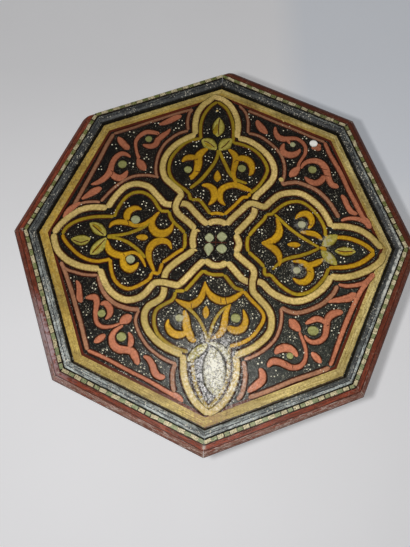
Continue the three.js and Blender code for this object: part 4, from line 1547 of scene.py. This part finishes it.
# %% Scatter the clusters
clusters = [
    # top petal: x, y, number of dots, spread
    (-20, 808, 4, 16), (-74, 668, 4, 18), (-132, 578, 5, 20), (-232, 452, 5, 18), (-56, 482, 6, 22),
    (52, 512, 6, 24), (168, 540, 5, 24), (200, 372, 5, 22), (46, 380, 4, 18), (-88, 262, 8, 30),
    (92, 262, 5, 20), (0, 192, 5, 20), (-165, 330, 2, 12), (60, 690, 2, 10), (-190, 520, 2, 12),
    (226, 450, 2, 12), (-150, 500, 2, 10), (20, 640, 2, 10),
    # upper left corner
    (-380, 692, 4, 24), (-228, 718, 5, 22), (-512, 620, 4, 20), (-602, 534, 3, 18), (-404, 486, 4, 18),
    (-668, 398, 3, 14), (-494, 432, 3, 16), (-395, 400, 4, 20), (-250, 660, 3, 16), (-560, 300, 3, 16),
    (-740, 160, 2, 14),
    # left petal
    (-744, 47, 3, 14), (-697, -85, 4, 18), (-491, 182, 4, 16), (-398, 196, 4, 18), (-518, 44, 4, 16),
    (-515, -44, 4, 16), (-385, -196, 4, 18), (-455, -246, 4, 20), (-303, -88, 4, 18), (-203, -30, 4, 18),
    (-279, 94, 5, 18), (-205, 50, 3, 14), (-560, 140, 3, 14), (-660, -10, 2, 10), (-520, -170, 3, 16),
    (-350, 160, 3, 14), (-790, 0, 2, 10), (-400, 0, 2, 22),
    # upper right corner
    (175, 772, 4, 18), (385, 706, 4, 22), (282, 642, 4, 18), (495, 640, 3, 18), (595, 556, 3, 16),
    (655, 430, 3, 16), (650, 275, 3, 16), (410, 490, 4, 18), (540, 560, 4, 30), (310, 560, 3, 14),
    (450, 380, 3, 14), (700, 190, 2, 12),
    # right petal
    (410, 208, 4, 16), (540, 205, 4, 18), (250, 60, 4, 18), (260, -60, 4, 18), (440, -20, 4, 20),
    (400, 20, 3, 18), (540, 20, 3, 14), (620, 90, 3, 16), (730, 10, 4, 18), (690, -70, 4, 18),
    (560, -160, 5, 20), (380, -190, 4, 18), (330, -130, 3, 12), (470, 30, 3, 14), (390, 130, 3, 12),
    (800, -20, 2, 10), (480, -240, 3, 16),
    # bottom petal
    (53, -250, 4, 18), (-90, -286, 5, 20), (-10, -220, 4, 18), (150, -330, 3, 14), (-200, -390, 5, 20),
    (-255, -450, 4, 18), (230, -400, 4, 18), (220, -480, 5, 20), (130, -530, 4, 18), (-150, -560, 3, 16),
    (-60, -470, 3, 14), (30, -460, 3, 14), (-20, -330, 3, 14),
    # lower left and lower right corners
    (-740, -250, 3, 16), (-650, -420, 4, 18), (-600, -540, 3, 16), (-480, -440, 4, 18), (-520, -620, 4, 20),
    (-320, -700, 4, 20), (-250, -660, 4, 18), (-620, -280, 4, 18), (-420, -660, 3, 16), (-390, -500, 3, 12),
    (640, -330, 4, 18), (730, -310, 3, 16), (640, -450, 5, 22), (560, -440, 3, 12), (476, -560, 4, 18),
    (500, -635, 4, 18), (330, -680, 4, 20), (260, -620, 3, 16), (420, -500, 4, 16), (560, -640, 3, 16),
    (440, -380, 3, 14), (380, -590, 2, 10),
    # the middle and its four arms
    (8, 62, 3, 10), (-76, -8, 3, 12), (92, -10, 3, 12), (8, -104, 2, 8), (-180, 160, 3, 30),
    (170, 140, 3, 30), (-170, -170, 3, 30), (160, -160, 3, 30),
]
DOT_GAP = 15
TRIES = 60
luck = random.Random(7)


def scatter(places, gap):
    """Points in clusters, none nearer to another than a gap."""
    points = []
    for x, y, number, spread in places:
        own = []
        for _ in range(TRIES):
            if len(own) == number:
                break
            spot = (x + luck.uniform(-spread, spread), y + luck.uniform(-spread, spread))
            if all(math.dist(spot, other) > gap for other in own):
                own.append(spot)
        points += own
    return points


def lay_dots(name, spots, tree, seed):
    """Sets one small dome of pale cream on every spot."""
    mesh = plain_mesh(name, spots, [], [])
    sizes = {"Radius": 0.85 * MM, "Height": 0.22 * MM, "Variation": 0.3, "Seed": seed, "Paint": pale_cream}
    settle(run_tree(name, mesh, tree, sizes))
    print(name, len(spots), "dots", made[name], "triangles")


on_field = [(*on_top(x, y), UNDERSIDE) for x, y in scatter(clusters, DOT_GAP)]
lay_dots("cream_dots", on_field, dot_tree, 31)

# %% [markdown]
# The narrow top of the lip is painted with cream and green squares in turn. They were dabbed
# by eye: the photograph shows ten to fourteen pairs to a side. Squares are set out along each
# side of the lip, each a little turned and resized, cream ones first and green ones between.

# %% Geometry tree: dabs along a line
dab_tree, size, end = geometry_group(
    "dabs along a line",
    [
        ("Count", "count", 11),
        ("Long", "value", 7 * MM),
        ("Wide", "value", 3 * MM),
        ("Thick", "value", 0.2 * MM),
        ("Seed", "count", 1),
        ("Paint", "material", None),
    ],
)
tree = dab_tree
path = step(tree, "GeometryNodeMeshToCurve", {"Mesh": size["Geometry"]})
row = make(tree, "GeometryNodeCurveToPoints", {"Curve": path, "Count": size["Count"]}, mode="COUNT").outputs
dab = step(tree, "GeometryNodeMeshCube", {"Size": (1.0, 1.0, 1.0)})
shares = {0: (0.78, 0.84, 0.9), 1: (1.08, 1.04, 1.1), "Seed": size["Seed"]}
share = step(tree, "FunctionNodeRandomValue", shares, data_type="FLOAT_VECTOR")
scale = on_places("MULTIPLY", join(size["Long"], size["Wide"], size["Thick"]), share)
along = step(tree, "FunctionNodeAlignRotationToVector", {"Vector": row["Tangent"]}, axis="X")
tilts = {0: (0, 0, -0.10), 1: (0, 0, 0.10), "Seed": size["Seed"]}
tilt = step(tree, "FunctionNodeRandomValue", tilts, data_type="FLOAT_VECTOR")
turned = step(tree, "FunctionNodeRotateRotation", {0: along, 1: tilt}, rotation_space="LOCAL")
dabs = {"Points": row[0], "Instance": dab, "Rotation": turned, "Scale": scale}
hand_out(end, step(tree, "GeometryNodeInstanceOnPoints", dabs), size["Paint"])
print("tree", dab_tree.name)

# %% Lay the checks
PAIRS = {1: 14, 2: 11, 3: 10, 4: 11, 5: 11, 6: 10, 7: 11, 8: 12}
check_cream = paint_material(
    "check cream", (0.82, 0.74, 0.50), (0.54, 0.44, 0.22), under=(0.10, 0.08, 0.03), chips=0.85, mottle=0.7
)

# green checks are deep toward the top of the picture and worn to a chalky mint below
check_green, tree, shader = start_material("check green")
chalky = remap(use_group(tree, axes_group)["Up"], 0.02, -0.16)
fresh = blend(chalky, (0.15, 0.175, 0.035, 1), (0.31, 0.37, 0.21, 1))
aged = age(
    tree, fresh, (0.05, 0.065, 0.015), (0.38, 0.33, 0.18),
    patchiness=0.6, mottle=0.7, chips=0.85, cracks=0.8, gloss=0.45,
)
finish_surface(shader, aged["Colour"], aged)
lip_middle = 0.5 * (LIP_IN + LIP_OUT)
half_lip_side = lip_middle * math.tan(HALF_SIDE)
check_wide = 0.84 * (LIP_OUT - LIP_IN)


def check_row(number, first, last):
    """One bare line along the lip of one side, between the middles of its end squares."""
    outward = Vector((math.cos(number * EIGHTH), math.sin(number * EIGHTH)))
    onward = Vector((-outward.y, outward.x))
    ends = [outward * lip_middle + onward * place for place in (first, last)]
    return plain_mesh("check_row", [(end.x, end.y, LIP_TOP) for end in ends], [(0, 1)], [])


# of each pair the cream square takes 0.56 and the green one the rest
for side, pairs in PAIRS.items():
    pair = 2 * half_lip_side / pairs
    for colour_name, share, offset, paint, slot in (
        ("cream", 0.56, 0.28, check_cream, "cream_paint"),
        ("green", 0.44, 0.78, check_green, "olive_paint"),
    ):
        sizes = {
            "Count": pairs, "Long": share * pair, "Wide": check_wide, "Thick": 0.16 * MM,
            "Seed": 40 + side, "Paint": paint,
        }
        line = check_row(side - 1, -half_lip_side + offset * pair, half_lip_side - (1 - offset) * pair)
        settle(run_tree(f"checks_{colour_name}_{side}", line, dab_tree, sizes))
print("checks", sum(count for name, count in made.items() if name.startswith("checks_")), "triangles")

# %% [markdown]
# ## The painted sides
# The photograph hides the sides, so they carry what such stools have: a cream ribbon round the
# arch, a mustard border, a lobed medallion with golden scrolls above the arch, salmon scrolls
# in the corners and a chain of salmon leaves up each leg. Places are millimetres on a panel,
# measured from its middle line and from the floor, and follow the arch of the construction.

# %% Measure a panel
panel = nodes["side_panel_1"]
spots = [panel.matrix_world @ corner.co for corner in panel.data.vertices]
spots = [spot for spot in spots if spot.x > PANEL_OUT - MM]
PANEL_HALF = PANEL_OUT * math.tan(HALF_SIDE) / MM
PANEL_HIGH = PANEL_TOP / MM
NEAR_END = 10 * MM
inner_part = 0.8 * PANEL_HALF * MM
of_arch = [spot for spot in spots if NEAR_END < spot.z < PANEL_TOP - NEAR_END and abs(spot.y) < inner_part]
widest = max(of_arch, key=lambda spot: abs(spot.y))
LEG_IN = min(abs(spot.y) for spot in spots if spot.z < NEAR_END) / MM
ARCH_CENTRE = widest.z / MM
ARCH_TOP = max(spot.z for spot in of_arch) / MM
ARCH_RADIUS = ARCH_TOP - ARCH_CENTRE
ARCH_SHIFT = ARCH_RADIUS - abs(widest.y) / MM
print("panel", round(PANEL_HALF, 1), round(PANEL_HIGH, 1), "arch", round(ARCH_CENTRE, 1), round(ARCH_TOP, 1))

# %% Geometry trees: the same painting on every side
UPRIGHT_TURN = (math.pi / 2, 0, math.pi / 2)
UNDER_FACE = -0.02 * MM


def on_every_side(inner, name):
    """Wraps a tree: what it makes lying flat is stood against a panel and repeated on all eight."""
    tree, size, end = geometry_group(name, [])
    work = tree.nodes.new("GeometryNodeGroup")
    work.node_tree = inner
    for socket in inner.interface.items_tree:
        if socket.in_out == "INPUT" and socket.name != "Geometry":
            tree.interface.new_socket(socket.name, in_out="INPUT", socket_type=socket.socket_type)
    for label in work.inputs.keys():
        tree.links.new(size[label], work.inputs[label])
    against = {"Geometry": work.outputs[0], "Translation": (PANEL_OUT, 0, 0), "Rotation": UPRIGHT_TURN}
    stood = step(tree, "GeometryNodeTransform", against)
    turned = join(0.0, 0.0, times(step(tree, "GeometryNodeInputIndex"), EIGHTH))
    sides = step(tree, "GeometryNodePoints", {"Count": 8})
    copies = {"Points": sides, "Instance": stood, "Rotation": turned}
    hand_out(end, step(tree, "GeometryNodeInstanceOnPoints", copies), size["Paint"])
    return tree


brush_on_sides = on_every_side(brush_tree, "brush stroke on every side")
dots_on_sides = on_every_side(dot_tree, "dots on every side")


def brush_sides(name, strokes, paint, level, crown=0.08, widen=0.0, seed=1):
    """Paints strokes, given in millimetres on a panel, on all eight panels."""
    mesh = path_mesh(name, strokes, lambda x, y: (x * MM, y * MM), MM)
    sizes = {
        "Step": 1.8 * MM, "Widen": widen * MM, "Bottom": UNDER_FACE, "Level": level * MM,
        "Crown": crown * MM, "Stagger": 0.03 * MM, "Wobble": 0.3, "Seed": seed, "Paint": paint,
    }
    piece = settle(run_tree(name, mesh, brush_on_sides, sizes))
    print(name, len(strokes), "strokes a side", made[piece.name], "triangles")


def mirrored(strokes):
    """The strokes of one half and their mirror images."""
    return strokes + [[(-x, y, half) for x, y, half in stroke] for stroke in strokes]


print("side trees", brush_on_sides.name, dots_on_sides.name)

# %% Ribbon, border and leaves of the sides
RIBBON_OFF = 8.0
BORDER_IN = 5.5
FOOT_LINE = 10.0
ARC_STEPS = 16
leg_ribbon = LEG_IN + RIBBON_OFF
border = PANEL_HALF - BORDER_IN
border_top = PANEL_HIGH - 9.0
arc_reach = ARCH_RADIUS + RIBBON_OFF
spring = math.acos((leg_ribbon - 4 + ARCH_SHIFT) / arc_reach)
crest = math.acos(ARCH_SHIFT / arc_reach)
turns = [-spring + (crest + spring) * number / ARC_STEPS for number in range(ARC_STEPS + 1)]
arc = [(ARCH_SHIFT - arc_reach * math.cos(a), ARCH_CENTRE + arc_reach * math.sin(a)) for a in turns]
arc_right = [(-x, y) for x, y in reversed(arc)][1:]
arc_foot = arc[0][1]
over_arch = [(-leg_ribbon, arc_foot - 8), *arc, *arc_right, (leg_ribbon, arc_foot - 8)]
up_leg = [(-leg_ribbon, FOOT_LINE), (-leg_ribbon, 0.5 * arc_foot), (-leg_ribbon, arc_foot - 5)]
low, high = ARCH_TOP + RIBBON_OFF + 7, border_top - 9
mid = 0.5 * (low + high)
medallion = [
    (0.5, low - 1), (-10, low + 12), (-25, low + 20), (-34, mid), (-26, high - 20), (-11, high - 12),
    (0.5, high + 1),
]
in_medallion = [
    (0, low + 7), (-12, low + 18), (-24, low + 25), (-28, mid), (-22, high - 24), (-10, high - 18),
    (0, high - 7),
]
side_ribbon = mirrored(strokes_of(3.3, [up_leg])) + strokes_of(3.3, [over_arch])
side_ribbon += mirrored(strokes_of(2.8, [medallion]))
side_lines = mirrored(strokes_of(1.7, [
    [(-border, FOOT_LINE), (-border, 0.5 * border_top), (-border, border_top)],
    [(-leg_ribbon, FOOT_LINE), (-0.5 * (leg_ribbon + border), FOOT_LINE), (-border, FOOT_LINE)],
]))
side_lines += strokes_of(1.7, [[(-border, border_top), (0, border_top), (border, border_top)]])
side_lines += mirrored(strokes_of(1.3, [in_medallion]))
brush_sides("side_ribbon_edge", side_ribbon, maroon, 0.09, 0.02, widen=1.2, seed=41)
brush_sides("side_ribbon", side_ribbon, cream, 0.16, 0.09, seed=42)
brush_sides("side_line_edge", side_lines, maroon, 0.07, 0.01, widen=0.9, seed=43)
brush_sides("side_line", side_lines, mustard, 0.12, 0.06, seed=44)

# %% Scrolls of the sides
side_gold = mirrored([
    [(-2, mid - 26, 1), (-10, mid - 20, 3.2), (-19, mid - 8, 4.2), (-21, mid + 4, 3.8), (-15, mid + 14, 2.8),
     (-8, mid + 15, 0.8)],
    [(-18, mid - 6, 2.2), (-12, mid - 2, 3.2), (-8, mid + 4, 2.6), (-10, mid + 10, 0.8)],
])
side_gold += [[(0, mid - 4, 0.8), (0, mid + 4, 3.2), (0, mid + 12, 4), (0, mid + 22, 0.8)]]
side_leaves = mirrored([
    [(-1, mid - 28, 0.8), (-6, mid - 30, 2.6), (-12, mid - 27, 3.4), (-17, mid - 21, 0.8)]
])
top = border_top - 12
side_salmon = mirrored([
    [(-24, top + 4, 0.8), (-38, top + 2, 2.6), (-52, top - 6, 3.8), (-58, top - 20, 4.0),
     (-50, top - 31, 3.4), (-42, top - 25, 0.9)],
    [(-64, mid - 10, 0.8), (-60, mid - 22, 2.8), (-50, mid - 32, 3.6), (-38, mid - 34, 2.6),
     (-26, mid - 38, 0.8)],
    [(-59, mid - 26, 0.8), (-62, mid - 40, 2.8), (-62, mid - 56, 3.4), (-64, mid - 74, 2.6),
     (-66, mid - 92, 0.8)],
    [(-47, mid - 34, 0.8), (-46, mid - 44, 3.0), (-40, mid - 52, 2.8), (-32, mid - 55, 0.8)],
])
LEAF_STEP = 14.0
column = -0.5 * (leg_ribbon + border) - 0.8
for number in range(int((arc_foot - FOOT_LINE - 10) // LEAF_STEP)):
    start = FOOT_LINE + 9 + number * LEAF_STEP
    lean = 2.0 if number % 2 else -2.0
    side_salmon += mirrored([
        [(column + lean, start, 0.5), (column, start + 4.5, 2.4), (column - lean, start + 10, 0.5)]
    ])
side_dots = mirrored([
    [(-50.8, top - 17, 3.0), (-48, top - 17, 3.0), (-45.2, top - 17, 3.0)],
    [(-13.5, mid + 4, 2.6), (-11.5, mid + 5, 2.6), (-9.5, mid + 6, 2.6)],
])
shapes = side_gold + side_leaves + side_salmon
brush_sides("side_scroll_edge", shapes, maroon, 0.07, 0.01, widen=0.8, seed=45)
brush_sides("side_gold_scroll", side_gold, gold, 0.14, 0.09, seed=46)
brush_sides("side_salmon_scroll", side_salmon, salmon, 0.14, 0.08, seed=47)
brush_sides("side_leaf", side_leaves, olive, 0.14, 0.08, seed=48)
brush_sides("side_dot", side_dots, pale_green, 0.20, 0.12, seed=49)

# %% Dots of the sides
SIDE_DOT_GAP = 3.2
side_places = [
    (0, mid - 16, 4, 5), (0, high - 14, 3, 3), (-20, mid + 22, 3, 4), (20, mid + 20, 3, 4),
    (-63, top + 2, 4, 5), (63, top + 2, 4, 5), (-62, mid + 2, 4, 5), (62, mid + 2, 4, 5),
    (-44, mid - 18, 4, 6), (44, mid - 18, 4, 6), (-52, mid - 48, 4, 5), (52, mid - 48, 4, 5),
    (-14, top + 4, 3, 4), (14, top + 4, 3, 4), (-24, low + 4, 4, 5), (24, low + 4, 4, 5),
]
on_panel = [(x * MM, y * MM, UNDER_FACE) for x, y in scatter(side_places, SIDE_DOT_GAP)]
lay_dots("side_cream_dots", on_panel, dots_on_sides, 51)

# %% [markdown]
# ## The floor and the light
# The stool stands on a plain pale floor. Half of the light comes evenly from all round, like
# a bright room, and half from a small lamp just left of the camera's lens, which gives the
# glare near the bottom petal and the thin shadow along the right-hand edges. The floor also
# glows a little, for the camera only: painted light that grows toward the lower left, with a
# painted shadow where the rim stands between it and the lamp, and a painted shadow tints it
# bluer toward the upper right. From below it lets the eye through, so that the underside can be looked at.

# %% The lamp
lamp_data = bpy.data.lights.new("lamp", "AREA")
lamp_data.shape = "DISK"
lamp_data.size = 14 * MM
lamp_data.energy = 1.85
lamp = add_object("lamp", lamp_data)
lamp.location = eye + camera.rotation_euler.to_matrix() @ Vector((-20 * MM, -3 * MM, 0.0))
lamp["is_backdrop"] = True
print("lamp at", [round(v, 3) for v in lamp.location])

# %% Floor and room
FLOOR_REACH = 6.0
corners = [(FLOOR_REACH * x, FLOOR_REACH * y, 0) for x, y in ((-1, -1), (1, -1), (1, 1), (-1, 1))]
floor_mesh = plain_mesh("floor", corners, [], [(0, 1, 2, 3)])
floor = add_object("floor", floor_mesh)
floor_paint, tree, shader = start_material("floor paint", coat=0.0, shine=0.0)
where = place_in(tree)
x, y, high = split(where)
cosine, sine = math.cos(look[2]), math.sin(look[2])
rightward = plus(times(x, cosine), times(y, sine))
upward = minus(times(y, cosine), times(x, sine))
# painted shadow: it is darker and bluer toward the upper right; it is also faintly cloudy
painted_shadow_zone = times(remap(rightward, 0.17, 0.25), remap(upward, 0.10, 0.32))
pale = blend(painted_shadow_zone, (0.93, 0.93, 0.95, 1), (0.78, 0.825, 0.90, 1))
pale = lay(pale, (0.5, 0.5, 0.5), remap(noise(where, 5, 2), 0.35, 0.65, 0.0, 0.035))
tree.links.new(pale, shader.inputs["Base Color"])
shader.inputs["Roughness"].default_value = 0.9
# painted light: the glow, for the camera only, grows toward the lower left
glow_and_painted_light = times(remap(upward, 0.62, -0.05), remap(rightward, -0.4, 0.4, 1.0, 0.5))
glow_and_painted_light = plus(times(glow_and_painted_light, 0.145), 0.128)
# the line from the floor to the lamp passes the rim, 9 mm below the lip's top, at this place
rim_share = (LIP_TOP - 9 * MM) / lamp.location.z
at_rim = on_places("MULTIPLY", where, (1 - rim_share,) * 3)
at_rim = on_places("ADD", at_rim, tuple(rim_share * value for value in lamp.location))
past_rim = -1.0
for side in range(1, 9):
    angle = (side - 1) * EIGHTH
    outward = (math.cos(angle), math.sin(angle), 0.0)
    edge = LIP_OUT if side == BARE_SIDE else MOULD_OUT
    past_rim = larger(past_rim, minus(on_places("DOT_PRODUCT", at_rim, outward, "Value"), edge))
# painted shadow of the rim: the glow sinks to 0.4 where the line to the lamp passes inside the rim
glow_and_painted_light = times(glow_and_painted_light, remap(past_rim, 0.0, 4.5 * MM, 0.4, 1.0))
glow_and_painted_light = times(glow_and_painted_light, make(tree, "ShaderNodeLightPath").outputs["Is Camera Ray"])
tree.links.new(blend(glow_and_painted_light, (0, 0, 0, 1), (1.0, 0.99, 1.0, 1)), shader.inputs["Emission Color"])
shader.inputs["Emission Strength"].default_value = 1.0
from_below = make(tree, "ShaderNodeNewGeometry").outputs["Backfacing"]
tree.links.new(minus(1.0, from_below), shader.inputs["Alpha"])
floor_mesh.materials.append(floor_paint)
floor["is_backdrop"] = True

world = bpy.data.worlds.new("room")
bpy.context.scene.world = world
world.use_nodes = True
background = world.node_tree.nodes["Background"].inputs
background["Color"].default_value = (1.0, 1.0, 1.0, 1)
background["Strength"].default_value = 0.32
print("floor", floor.name, "room", world.name)

# %% [markdown]
# ## Finish
# The last cell counts the pieces and their triangles, and gathers the box of the construction
# and of the dressed stool side by side, so that the two can be compared.

# %% Finish
print("pieces", len(made), "triangles", sum(made.values()))
low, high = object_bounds()
sizes = {"cad": [list(cad_low), list(cad_high)], "visual": [list(low), list(high)]}
